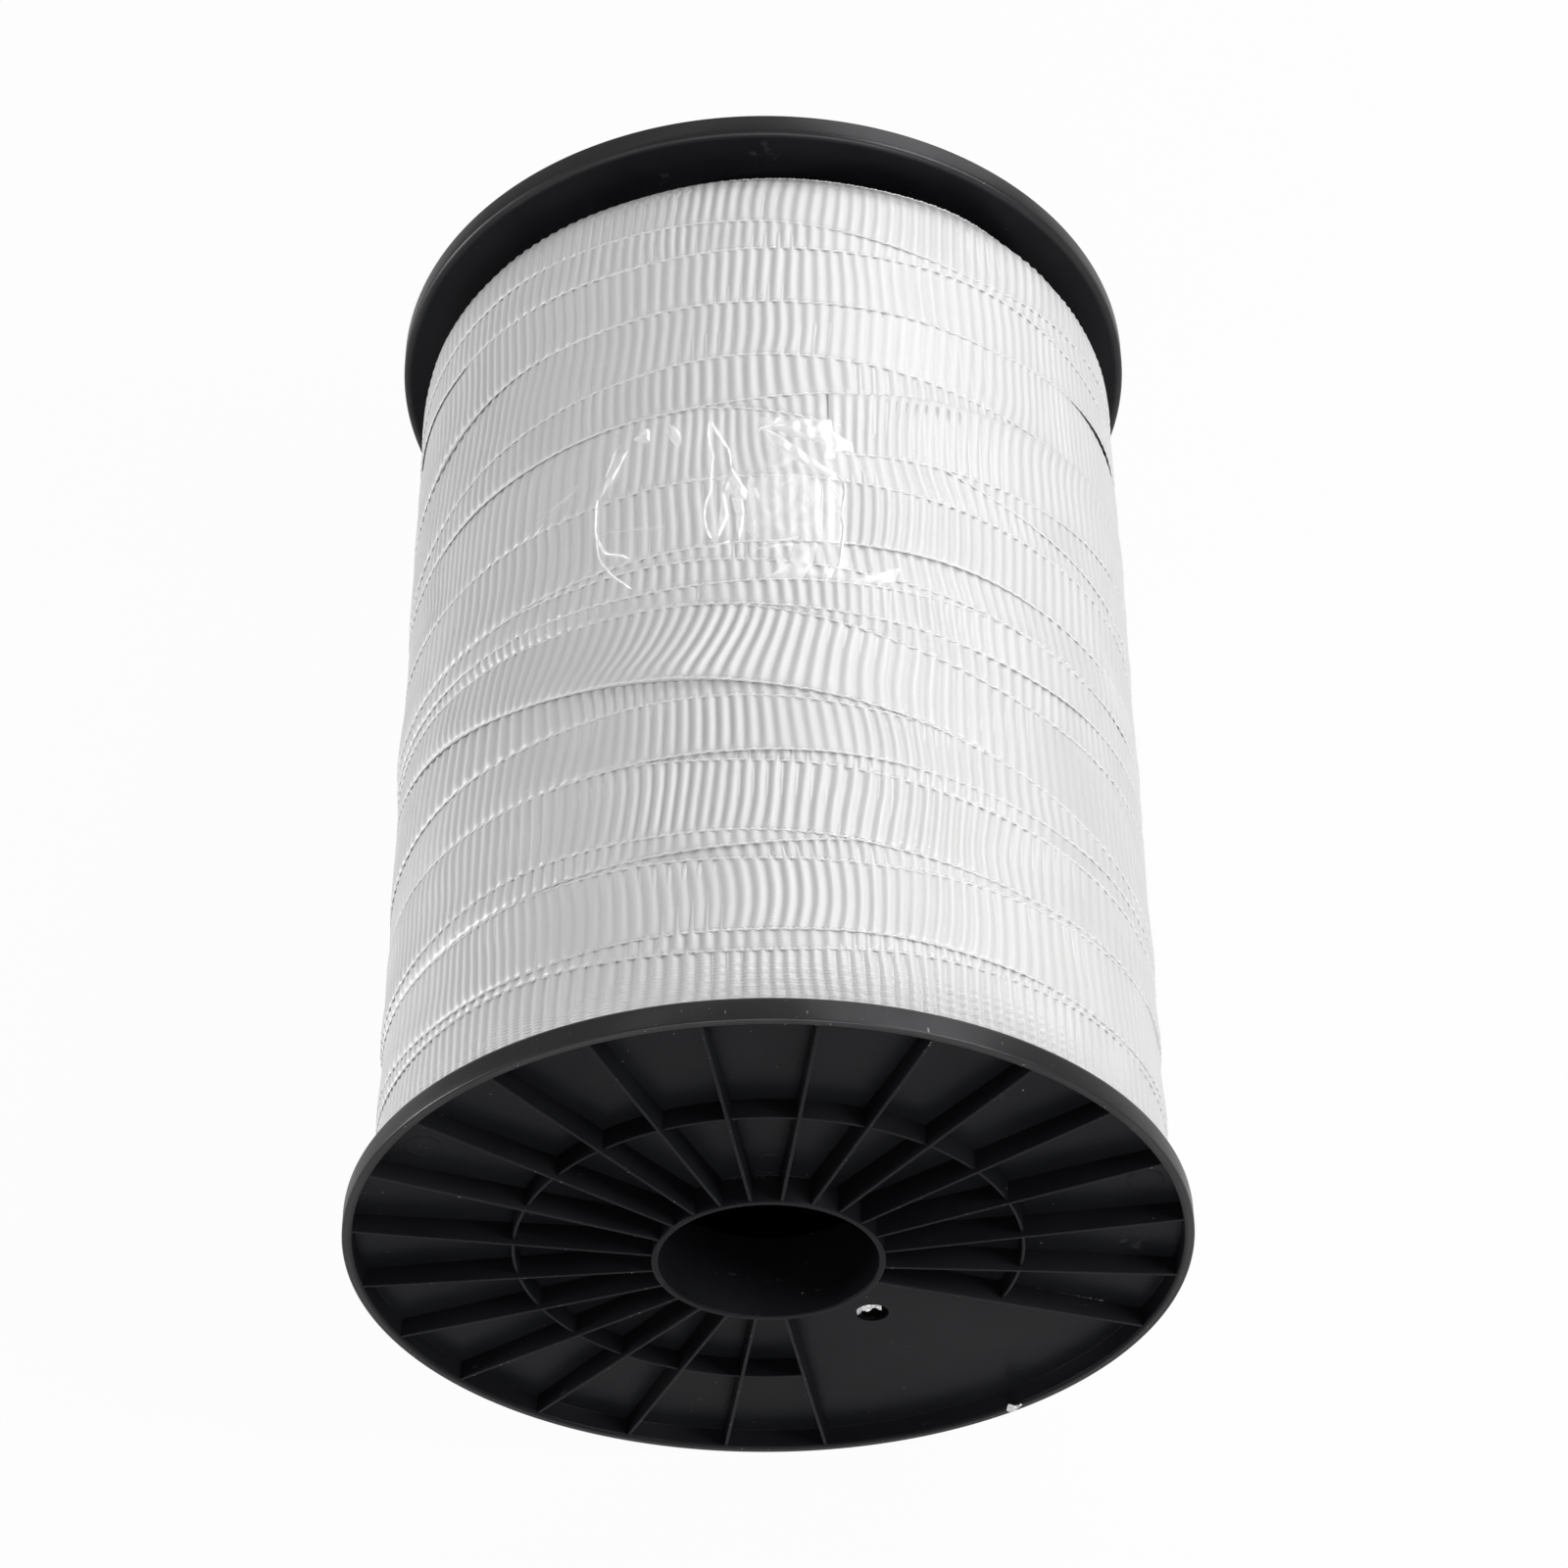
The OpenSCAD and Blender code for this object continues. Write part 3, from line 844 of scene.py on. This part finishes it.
# %% One piece for each turn
def tape_piece(name, stretch, cords, node, pulls=()):
    """A turn with its cords as one piece that stands for a node."""
    parts, lays = strip(*stretch, cords, pulls)
    strip_faces = len(parts[0][1])
    parts = [(points, outward(points, faces)) for points, faces in parts]
    points, faces = merged(parts)
    piece = add_piece(name, points, faces, tape_white, solid=False)
    piece.data.materials.append(cord_white)
    slots = np.zeros(len(faces), np.int32)
    slots[strip_faces:] = 1
    piece.data.polygons.foreach_set("material_index", slots)
    give_attribute(piece, "lay", np.concatenate(lays))
    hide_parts(node)
    return piece


total = 0
for name in names:
    cords = ("near", "far") if name == names[-1] else ("near",)
    piece = tape_piece("tape_turn_" + name, laid_turns[name], cords, "tape_outer_turns",
                       PULLS.get(name, ()))
    total += len(piece.data.polygons)
print("outer turns:", total, "faces")

# %% [markdown]
# ## The inner layers and the tape's last end
# Under the outer turns lie dozens of layers that nobody sees, so they are one turned solid.
# It stands back from the near flange round the core, where the first end leaves a gap.

# %% Inner layers as one turned solid
# Distance from the axis, and distance from the near rim: first the face beside the flange
inner_section = [(40.2, 14.0), (60.0, 11.0), (86.0, 7.5), (90.6, 6.9)]
inner_section += [(inner[:, i].min() - 0.2, rows_y[i]) for i in range(6, len(rows_y), 14)]
inner_section += [(72.0, 274.0), (40.2, 274.0)]
inner_r, inner_y = np.array(inner_section).T
rings = np.stack([on_reel(np.full(len(inner_r), a), inner_r, inner_y)
                  for a in np.linspace(0, 360, 180, endpoint=False)])
points, faces = swept(rings, closed_path=True)
inner_layers = add_piece("tape_inner_layers", points, faces, tape_white, 40)
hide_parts("tape_pack")
print("inner layers:", len(faces), "faces")

# %% The last stretch, laid over everything else
degrees = np.arange(-150.0, END_DEG + 0.01, 1.0)
near = softened(np.interp(degrees, *zip(*END_EDGE)), 6)
column = (np.round(degrees - FIRST_DEG).astype(int)) % COARSE
lift = 0.1 * np.abs(smooth_noise(len(degrees), 8)) * np.clip((END_DEG - degrees) / 25, 0, 1)
lift -= 0.9 * np.clip((degrees - END_DEG + 5) / 5, 0, 1)
narrowed = np.interp(degrees, [-90, 45, 62, END_DEG], [1.0, 0.97, 0.86, 0.78])
tape_piece("tape_last_end", [degrees, near, narrowed, *lay_turn(column, near, lift, narrowed)],
           ("near",), "tape_end")
print(f"after the last end the winding reaches {winding.max():.1f} mm")

# %% [markdown]
# ## The patch of clear film
# The film was smoothed on by hand, so most of it is flat and nearly invisible, and what shows
# are its folds. They could be a bump, but a real fold throws its own glint and has an
# outline. So the patch is a thin skin over the tape, creases are low ridges drawn along
# given lines, and doubled flaps are small raised sheets, each as milky white as it is thick.
# That white is partly the real milkiness of doubled film and partly a painted glint.
# None of them casts a shadow: film this thin passes the light on to the tape under it.

# %% Places on the film: millimetres across, and millimetres down towards the near flange
FILM_DEG, FILM_Y = 112.6, 181.0
FOLD_STEP = 0.8
DEG_PER_MM = 180 / (math.pi * 94.7)
resting = softened(softened(winding, 1).T, 2).T


def on_film(across, down, height):
    """Points in metres on the patch, at a height in millimetres over the tape."""
    across, down = np.broadcast_arrays(np.asarray(across, float), np.asarray(down, float))
    degrees, y = FILM_DEG - across * DEG_PER_MM, FILM_Y - down
    tape = between(resting, degrees - FIRST_DEG, (y - rows_y[0]) / ROW)
    return on_reel(degrees, tape + height, y)


# %% The skin, a little uneven, with one pulled corner
SKIN_ROWS, SKIN_COLUMNS = 66, 90
down = np.linspace(-0.5, 52, SKIN_ROWS)
left = np.interp(down, [0, 20, 48, 52], [0.0, -1.0, 0.0, 1.5])
right = np.interp(down, [0, 10, 25, 39, 46, 52], [62.0, 63.0, 62.0, 62.5, 64.0, 63.0])
share = np.linspace(0, 1, SKIN_COLUMNS)
across = left[:, None] + (right - left)[:, None] * share[None, :]
crumpled = np.clip((across - 35) / 4, 0, 1) * np.clip((63 - across) / 4, 0, 1)
crumpled = crumpled * np.clip((down[:, None] - 13) / 5, 0, 1)
uneven = softened(smooth_noise(SKIN_ROWS, 2, SKIN_COLUMNS).T, 2).T
waves = np.abs(smooth_noise(SKIN_ROWS, 3, 1)) * np.abs(smooth_noise(SKIN_COLUMNS, 4))[None, :]
height = 0.4 + 0.1 * np.clip(waves, 0, 2.5) + crumpled * (0.2 + 0.8 * np.abs(uneven))
skin = on_film(across, down[:, None], height)
skin_faces = open_quads(SKIN_ROWS, SKIN_COLUMNS)
film_skin = add_piece("film_skin", skin.reshape(-1, 3), skin_faces, film_clear, solid=False)
give_attribute(film_skin, "body", (0.05 + 0.07 * crumpled).ravel())
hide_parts("clear_film")
print("film skin:", len(skin_faces), "faces")

# %% Creases: a width, a rise, how milky white it is (milkiness and painted glint) and a line of (across, down)
CREASES = [
    (0.4, 0.5, 0.8, [(1.2, 18.8), (0.4, 22.0), (0.5, 27.0), (0.6, 30.5), (1.9, 34.0), (3.2, 37.0),
                     (4.6, 38.5), (8.2, 39.8), (10.8, 42.5)]),
    (0.3, 0.3, 0.5, [(0.7, 29.5), (1.1, 34.0), (2.1, 39.5), (5.5, 45.0), (11.6, 52.0)]),
    (0.25, 0.2, 0.5, [(7.8, 3.0), (5.2, 5.4), (4.4, 8.6), (2.4, 14.2)]),
    (0.4, 0.5, 0.8, [(29.6, 1.0), (29.4, 5.0), (29.6, 8.4), (30.7, 12.5), (30.3, 17.0), (30.1, 24.5),
                     (29.0, 27.0), (28.5, 32.0), (29.0, 36.0), (30.3, 39.6), (31.0, 40.4)]),
    (0.4, 0.5, 0.8, [(30.0, 0.8), (31.5, 5.0), (33.0, 8.0), (34.4, 11.0), (34.9, 14.0), (35.0, 18.0)]),
    (0.35, 0.4, 0.8, [(41.2, 7.0), (42.0, 4.4), (46.0, 3.8), (50.0, 3.3)]),
    (0.5, 0.7, 0.8, [(60.0, 18.6), (62.0, 20.4), (62.6, 22.5), (62.5, 25.4), (61.9, 29.0), (61.4, 32.0),
                     (62.0, 36.0), (61.6, 40.0), (61.3, 43.5), (60.9, 47.0)]),
    (0.3, 0.4, 0.7, [(59.6, 31.6), (61.6, 30.0)]),
    (0.3, 0.3, 0.6, [(52.4, 19.6), (52.6, 24.0), (54.2, 31.5)]),
    (0.3, 0.3, 0.6, [(57.3, 21.0), (57.0, 28.0), (56.5, 35.0), (56.3, 40.5)]),
    (0.3, 0.3, 0.6, [(58.0, 20.6), (59.4, 23.4), (61.4, 27.0)]),
    (0.35, 0.3, 0.7, [(26.0, 41.2), (30.0, 42.3), (33.5, 41.6), (35.2, 40.2)]),
    (0.6, 0.3, 0.6, [(40.0, 43.8), (46.0, 42.6), (51.0, 42.0)]),
    (0.4, 0.3, 0.6, [(42.5, 42.0), (47.0, 41.2), (52.0, 39.8)]),
    (0.25, 0.2, 0.6, [(46.4, 17.2), (48.0, 14.8), (50.2, 12.6)]),
    (0.25, 0.2, 0.6, [(47.2, 17.6), (49.0, 15.0), (51.0, 13.2)]),
    (0.3, 0.2, 0.5, [(22.6, 18.8), (27.0, 20.2), (33.0, 20.8), (40.0, 19.8)]),
    (0.5, 0.2, 0.4, [(50.6, 20.0), (48.0, 22.4), (45.0, 25.0)]),
    (0.6, 0.1, 0.2, [(1.0, 30.4), (10.0, 32.2), (20.0, 34.2)]),
    (0.4, 0.1, 0.25, [(-20.4, 20.4), (-14.0, 17.0), (-8.0, 14.4), (-3.2, 11.1)]),
    (0.3, 0.1, 0.25, [(-19.7, 23.2), (-12.0, 17.6), (-4.6, 12.5)]),
]


def stepped(line):
    """Points at even steps along a line, how far along each is, and the line's length."""
    line = np.array(line)
    run = np.concatenate([[0], np.cumsum(np.hypot(*np.diff(line, axis=0).T))])
    at = np.arange(0, run[-1], FOLD_STEP)
    return np.stack([np.interp(at, run, line[:, i]) for i in (0, 1)], -1), at, run[-1]


def ridge(width, rise, line):
    """A low ridge along a line on the film, fading out at both ends."""
    middle, at, length = stepped(line)
    middle = softened(middle, 1)
    ahead = np.gradient(middle, axis=0)
    side = np.stack([-ahead[:, 1], ahead[:, 0]], -1) / np.hypot(*ahead.T)[:, None]
    fade = np.clip(np.minimum(at, length - at) / 2.5, 0.05, 1) * (0.8 + 0.2 * np.sin(at * 1.7))
    rows = []
    for offset, share in ((-1, 0), (-0.3, 0.85), (0.2, 1.0), (1, 0)):
        place = middle + side * (offset * width * fade[:, None])
        rows.append(on_film(place[:, 0], place[:, 1], 0.3 + rise * share * fade))
    return np.stack(rows, 1).reshape(-1, 3), open_quads(len(at), 4)


# %% Flaps, where the film is folded double: a rise, how milky white it is (milkiness and painted glint) and an outline
FLAPS = [
    (0.5, 0.8, [(8.9, 5.9), (6.8, 6.3), (4.8, 9.4), (3.0, 14.0), (1.5, 17.0), (0.9, 20.0),
                (1.7, 19.6), (2.8, 17.2), (4.8, 14.9), (6.8, 10.9)]),
    (0.5, 0.85, [(10.2, 3.0), (13.0, 1.2), (13.7, 0.1), (14.6, 1.0), (14.6, 4.6), (13.7, 5.2)]),
    (0.5, 0.8, [(18.7, 0.3), (20.6, 0.8), (22.4, 4.0), (22.7, 7.0), (21.6, 8.4), (20.0, 5.6)]),
    (0.6, 0.8, [(35.1, 17.0), (37.6, 22.0), (39.0, 25.0), (38.7, 27.6), (36.4, 28.6), (35.0, 26.0),
                (32.5, 25.0), (33.8, 20.4)]),
    (0.5, 0.75, [(32.6, 24.4), (33.6, 26.0), (33.9, 29.5), (34.5, 32.5), (33.4, 36.5), (32.4, 39.4),
                 (31.2, 40.7), (31.9, 35.5), (32.5, 28.5)]),
    (0.5, 0.8, [(35.1, 27.0), (37.8, 27.0), (38.3, 32.0), (37.9, 36.5), (37.0, 40.9), (36.2, 38.5),
                (36.2, 33.0)]),
    (0.3, 0.75, [(40.4, 33.8), (41.1, 35.4), (40.4, 38.6), (39.8, 37.0)]),
    (0.3, 0.4, [(38.6, 24.0), (41.0, 23.8), (42.5, 28.6), (40.0, 27.0)]),
    (0.25, 0.34, [(38.6, 27.6), (40.0, 21.0), (46.0, 19.8), (53.0, 19.6), (57.2, 23.0), (57.0, 31.0),
                  (56.3, 40.4), (50.0, 40.8), (41.5, 41.0), (38.4, 38.0)]),
    (0.2, 0.25, [(57.2, 21.0), (61.6, 22.0), (61.8, 32.0), (61.0, 42.0), (56.4, 41.0)]),
    (0.2, 0.3, [(43.0, 6.0), (48.0, 10.0), (51.0, 14.0), (49.0, 17.6), (44.0, 17.8)]),
    (0.3, 0.6, [(42.0, 1.1), (47.4, 1.1), (46.0, 3.4), (42.2, 4.2)]),
    (0.5, 0.7, [(44.4, 4.4), (50.2, 1.2), (59.6, 1.2), (60.0, 5.0), (60.4, 9.4), (57.0, 8.8),
                (50.0, 7.5)]),
    (0.4, 0.55, [(59.8, 4.6), (64.8, 8.0), (65.0, 10.4), (60.8, 10.8), (60.2, 13.8), (57.2, 13.4),
                 (57.0, 8.6)]),
    (0.5, 0.7, [(42.4, 4.6), (45.0, 5.6), (50.0, 9.8), (55.0, 14.3), (58.0, 17.2), (61.2, 19.2),
                (60.2, 20.2), (56.0, 18.2), (52.5, 16.4), (48.5, 12.4), (45.0, 10.0)]),
    (0.3, 0.35, [(45.0, 45.6), (48.6, 47.4), (50.0, 42.2), (55.6, 41.4), (54.4, 48.0), (52.0, 52.9),
                 (43.0, 52.9), (47.4, 51.0)]),
    (0.4, 0.75, [(60.9, 45.0), (62.9, 46.6), (62.0, 48.4), (60.2, 48.8)]),
    (0.4, 0.75, [(58.6, 48.4), (59.9, 49.0), (58.8, 51.8), (57.0, 51.6)]),
    (0.6, 0.8, [(63.4, 52.0), (65.6, 50.4), (70.0, 49.0), (75.7, 45.6), (73.9, 50.5), (70.0, 51.0),
                (65.5, 53.0)]),
]


def flap(rise, outline):
    """A raised sheet: its outline drawn towards its middle in rings, each laid on the tape."""
    edge = stepped(outline + outline[:1])[0]
    middle = edge.mean(0)
    n, rings = len(edge), 2 + int(np.hypot(*(edge - middle).T).max() / 1.5)
    points = []
    for share in np.append(np.arange(rings) / rings, 1.0):
        ring = edge + (middle - edge) * share if share < 1 else middle[None]
        wrinkle = np.sin(ring @ (1.5, 0.5)) * np.sin(ring @ (-0.4, 0.8))
        height = 0.34 + rise * min(3 * share, 1) * (0.7 + 0.35 * wrinkle)
        points.append(on_film(ring[:, 0], ring[:, 1], height))
    last = (rings - 1) * n
    fan = [[last + i, last + (i + 1) % n, last + n] for i in range(n)]
    return np.concatenate(points), ring_quads(rings, n).tolist() + fan


# %% The folds as one piece
folds = [ridge(width, rise, line) for width, rise, _, line in CREASES]
folds += [flap(rise, outline) for rise, _, outline in FLAPS]
fold_points, fold_faces = merged(folds)
film_folds = add_piece("film_folds", fold_points, fold_faces, film_crease, 24, solid=False)
# Painted highlight: the folds' milky white stands partly for the glints they throw
milky_and_glint = [crease[2] for crease in CREASES] + [sheet[1] for sheet in FLAPS]
give_attribute(film_folds, "body", np.repeat(milky_and_glint, [len(points) for points, _ in folds]))
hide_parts("clear_film")
film_skin.visible_shadow = film_folds.visible_shadow = False
print("folds:", len(CREASES), "creases and", len(FLAPS), "flaps")

# %% [markdown]
# ## The tape's first end
# The first end was pushed through a hole beside the hub and then torn off short, so what
# shows is a crumpled, frayed bit of weave in the upper part of the hole. It is a small sheet
# that comes down behind the web and turns back into the winding.

# %% Crumpled first end behind the hole
END_ROWS, END_COLUMNS = 16, 22
frayed_x = np.linspace(-3.7, 2.3, END_COLUMNS)
run_up = np.linspace(0, 1, END_ROWS)
crumple = smooth_noise(END_COLUMNS, 2, END_ROWS).T
drop_line = 0.3 + 0.5 * np.sin(frayed_x * 2.1) + 0.25 * smooth_noise(END_COLUMNS, 1)
up_mm = drop_line[None, :] * (1 - run_up[:, None]) + run_up[:, None] * 7.0
back_mm = -5.6 - 8.5 * run_up[:, None] ** 2 + 0.35 * crumple * (1 - run_up[:, None])
sheet = np.stack(np.broadcast_arrays(start_x + frayed_x[None, :], start_y + up_mm, back_mm), -1)
sheet = standing(sheet.reshape(-1, 3), near_place)
first_end = add_piece("tape_first_end", sheet, open_quads(END_ROWS, END_COLUMNS), tape_white,
                      solid=False)
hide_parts("tape_start")
print("first end at", [round(v, 4) for v in sheet.mean(0)])

# %% A torn scrap of tape caught on the near rim
SCRAP_PLACE, SCRAP_LEAN = (56.9, -79.4), 36
scrap_outline = np.array([(-2.6, -1.0), (-2.2, 0.4), (-0.6, 1.9), (-0.1, 2.3), (0.9, 0.9), (1.4, 0.2),
                          (2.3, 0.5), (2.6, 0.1), (1.0, -0.9), (-0.8, -1.6)])
c, s = polar(1, SCRAP_LEAN)
turn = np.array([[c, s], [-s, c]])
rings = []
for share in (0.0, 0.35, 0.7):
    flat = (scrap_outline * (1 - share)) @ turn + SCRAP_PLACE
    lift = 0.25 + 0.5 * share + 0.25 * np.sin(np.arange(len(flat)) * 2.0 + share * 5)
    rings.append(np.concatenate([flat, lift[:, None]], 1))
n = len(scrap_outline)
scrap_faces = ring_quads(3, n).tolist() + [list(range(2 * n, 3 * n))]
scrap = standing(np.array(rings).reshape(-1, 3), near_place)
add_piece("torn_scrap", scrap, scrap_faces, tape_white, 20, solid=False)
print("scrap:", len(scrap_faces), "faces")

# %% [markdown]
# ## Dust, a scuff and nicks
# Black plastic shows every bit of lint. A shader could scatter specks, but a scuff runs in a
# line, lint gathers on edges and nicks sit on the outside of the rim. So they are placed one
# by one as tiny flat chips, just clear of the plastic.

# %% Flecks on the near flange: each has a place on the rim plane, a height and a size
ON_FLOOR = 0.05 - FLOOR_DEPTH
flecks = []
for k in range(26):
    share = k / 25 + 0.01 * rng.standard_normal()
    flecks.append((58.5 + 20.5 * share, -27.0 - 9.0 * share, ON_FLOOR + 0.02,
                   0.16 + 0.12 * rng.random()))
for k in range(110):
    rib = FIRST_RIB_DEG + RIB_STEP * rng.integers(RIBS)
    r = 29 + 68 * rng.random()
    c, s = polar(1, rib)
    aside = 0.5 * (rng.random() - 0.5)
    flecks.append((r * c - aside * s, r * s + aside * c, crest_height(r) + 0.04,
                   0.07 + 0.12 * rng.random() ** 2))
for k in range(90):
    place = polar(30 + 66 * math.sqrt(rng.random()), 360 * rng.random())
    flecks.append((*place, ON_FLOOR, 0.06 + 0.16 * rng.random() ** 3))
for k in range(60):
    place = polar(FLANGE_R - 0.5 - 1.5 * rng.random(), 360 * rng.random())
    flecks.append((*place, 0.03, 0.07 + 0.14 * rng.random() ** 2))
print("flecks:", len(flecks))

# %% Each fleck is an uneven six-sided chip
CORNERS = np.array([1.6, 0.7, 0.8, 1.4, 0.6, 0.8])
chips = []
for x, y, z, size in flecks:
    lean = rng.random() * math.pi + np.arange(6) * math.pi / 3
    ring = [x + size * CORNERS * np.cos(lean), y + size * CORNERS * np.sin(lean), np.full(6, z)]
    chips.append((standing(np.stack(ring, -1), near_place), [list(range(6))]))

# %% Nicks on the outside of the rim: degrees round the reel, depth from the front, length
NICKS = [(91.7, 2.1, 0.8), (81.6, 1.9, 0.8), (66.2, 0.9, 1.5), (55.8, 2.6, 0.7)]
for k in range(60):
    NICKS.append((20 + 140 * rng.random(), 0.6 + 4.4 * rng.random(), 0.15 + 0.25 * rng.random() ** 2))
NICK_ROUND, NICK_ALONG = np.array([(-0.15, 0.15, 0.2, -0.05), (-0.5, -0.4, 0.5, 0.4)])
for degrees, y, size in NICKS:
    around = degrees + size * DEG_PER_MM * NICK_ROUND
    chips.append((on_reel(around, np.full(4, FLANGE_R + 0.02), y + size * NICK_ALONG), [[0, 1, 2, 3]]))
chip_points, chip_faces = merged(chips)

# %% Lint and the piece
lint, start = new_material("lint")
tone = start.place().noise(900, 2).step(0.3, 0.7)
surface(start, start.add("BsdfPrincipled", None, {
    "Base Color": tone.blend((0.05, 0.05, 0.05, 1), (0.35, 0.35, 0.34, 1)), "Roughness": 0.8}))
add_piece("dust_flecks", chip_points, chip_faces, lint, solid=False)
print("chips:", len(chips), "of which nicks:", len(NICKS))

# %% [markdown]
# ## Camera and floor
# A long lens from above the near flange keeps the reel's sides nearly parallel. The floor
# is pale and brightens itself for the camera only, so that the ground is white and still
# keeps the reel's shadow. More light on the reel could whiten the ground as well, but it
# would wash out the weave.

# %% Camera
LENS_MM, SENSOR_MM = 86.76, 36.0
CAMERA_PLACE = (0.046253, -0.590158, 0.873340)
CAMERA_RIGHT, CAMERA_UP = (0.998204, -0.0076015, -0.0594205), (0.0420001, 0.796091, 0.603718)


def facing(right, up):
    """A turn that looks along -(right x up)."""
    right, up = Vector(right), Vector(up)
    return Matrix((right, up, right.cross(up).normalized())).transposed().to_4x4()


camera_data = bpy.data.cameras.new("camera")
camera_data.lens, camera_data.sensor_width = LENS_MM, SENSOR_MM
camera = new_object("camera", camera_data)
camera.matrix_world = Matrix.Translation(CAMERA_PLACE) @ facing(CAMERA_RIGHT, CAMERA_UP)
bpy.context.scene.camera = camera
print(f"camera {camera.matrix_world.translation.z:.2f} m above the floor")

# %% Floor and surroundings
GLOSS_SHARE = 0.3  # how much of the white surroundings shows in a gloss
FLOOR_GLOW, AMBIENT = 0.96, 0.12
GLOSSY_OUTPUT, TRANSMISSION_OUTPUT = 3, 6


def seen_directly(start):
    """1 for rays from the camera or through clear things, less for gloss, 0 for light."""
    first = start.add("LightPath")
    gloss, through = first.sibling(GLOSSY_OUTPUT), first.sibling(TRANSMISSION_OUTPUT)
    return first.math("MAXIMUM", first.math("MAXIMUM", first, gloss * GLOSS_SHARE), through)


floor_paint, start = new_material("pale_floor")
paper = start.place().noise(35, 3)
shader = start.add("BsdfPrincipled", None, {
    "Base Color": (0.8, 0.8, 0.8, 1), "Roughness": 0.8 + 0.05 * paper, "Specular IOR Level": 0.0})
glow = start.add("Emission", None, {"Color": (1, 1, 1, 1), "Strength": 1.0})
mixed = start.add("MixShader", None, {0: FLOOR_GLOW * seen_directly(start), 1: shader, 2: glow})
surface(start, mixed)
floor_mesh = new_mesh("floor", [(-4, -4, 0), (4, -4, 0), (4, 4, 0), (-4, 4, 0)], [(0, 1, 2, 3)])
floor_mesh.materials.append(floor_paint)
new_object("floor", floor_mesh)
print("floor:", len(floor_paint.node_tree.nodes), "nodes")

# %% The world
world = bpy.data.worlds.new("studio")
world.use_nodes = True
world.node_tree.nodes.clear()
start = Wire(world.node_tree)
sky = start.add("Background", None, {
    "Color": (1, 1, 1, 1), "Strength": AMBIENT + (1 - AMBIENT) * seen_directly(start)})
out = world.node_tree.nodes.new("ShaderNodeOutputWorld")
world.node_tree.links.new(sky.socket, out.inputs["Surface"])
bpy.context.scene.world = world
bpy.context.scene.view_settings.view_transform = "Standard"
print("plain light from all round:", AMBIENT)

# %% [markdown]
# ## Light
# A satin ribbon shows its ribs where a lamp is mirrored in them. The reel's sides mirror a
# cone of directions behind it, so two soft panels hang on that cone: a broad one on the right,
# which lights the right half of the winding, and a narrow weak one on the left, which draws
# thin lines on the ribs' flanks. A small key from the right, a low fill from the left and a
# soft lamp in front give the plain light, and show the ribs of the flange. One big lamp
# overhead would be simpler, but the weave would look like paper.

# %% Lamps
def soft_lamp(name, place, size, watts, long_side=(0, 0, 1)):
    """A lamp aimed at the reel; its second size runs along long_side."""
    data = bpy.data.lights.new(name, "AREA")
    data.shape, data.size, data.size_y, data.energy = "RECTANGLE", size[0], size[1], watts
    back = (Vector(place) - Vector((0, 0, FLANGE_R * MM))).normalized()
    side = Vector(long_side).cross(back).normalized()
    new_object(name, data).matrix_world = Matrix.Translation(place) @ facing(side, back.cross(side))


soft_lamp("satin_strip", (0.776, 0.87, 0.96), (1.1, 1.8), 11, (0.23, -0.782, 0.58))
soft_lamp("satin_left", (-0.4, 0.87, 1.19), (0.3, 1.5), 1.2, (-0.404, -0.782, 0.475))
soft_lamp("key_right", (0.96, -0.4, 0.96), (0.4, 0.9), 9.5)
soft_lamp("fill_left", (-1.4, -0.1, 0.02), (0.5, 0.8), 22)
soft_lamp("front_low", (0.1, -1.5, 0.4), (0.9, 0.6), 8)

# %% Finish
bpy.context.view_layer.update()
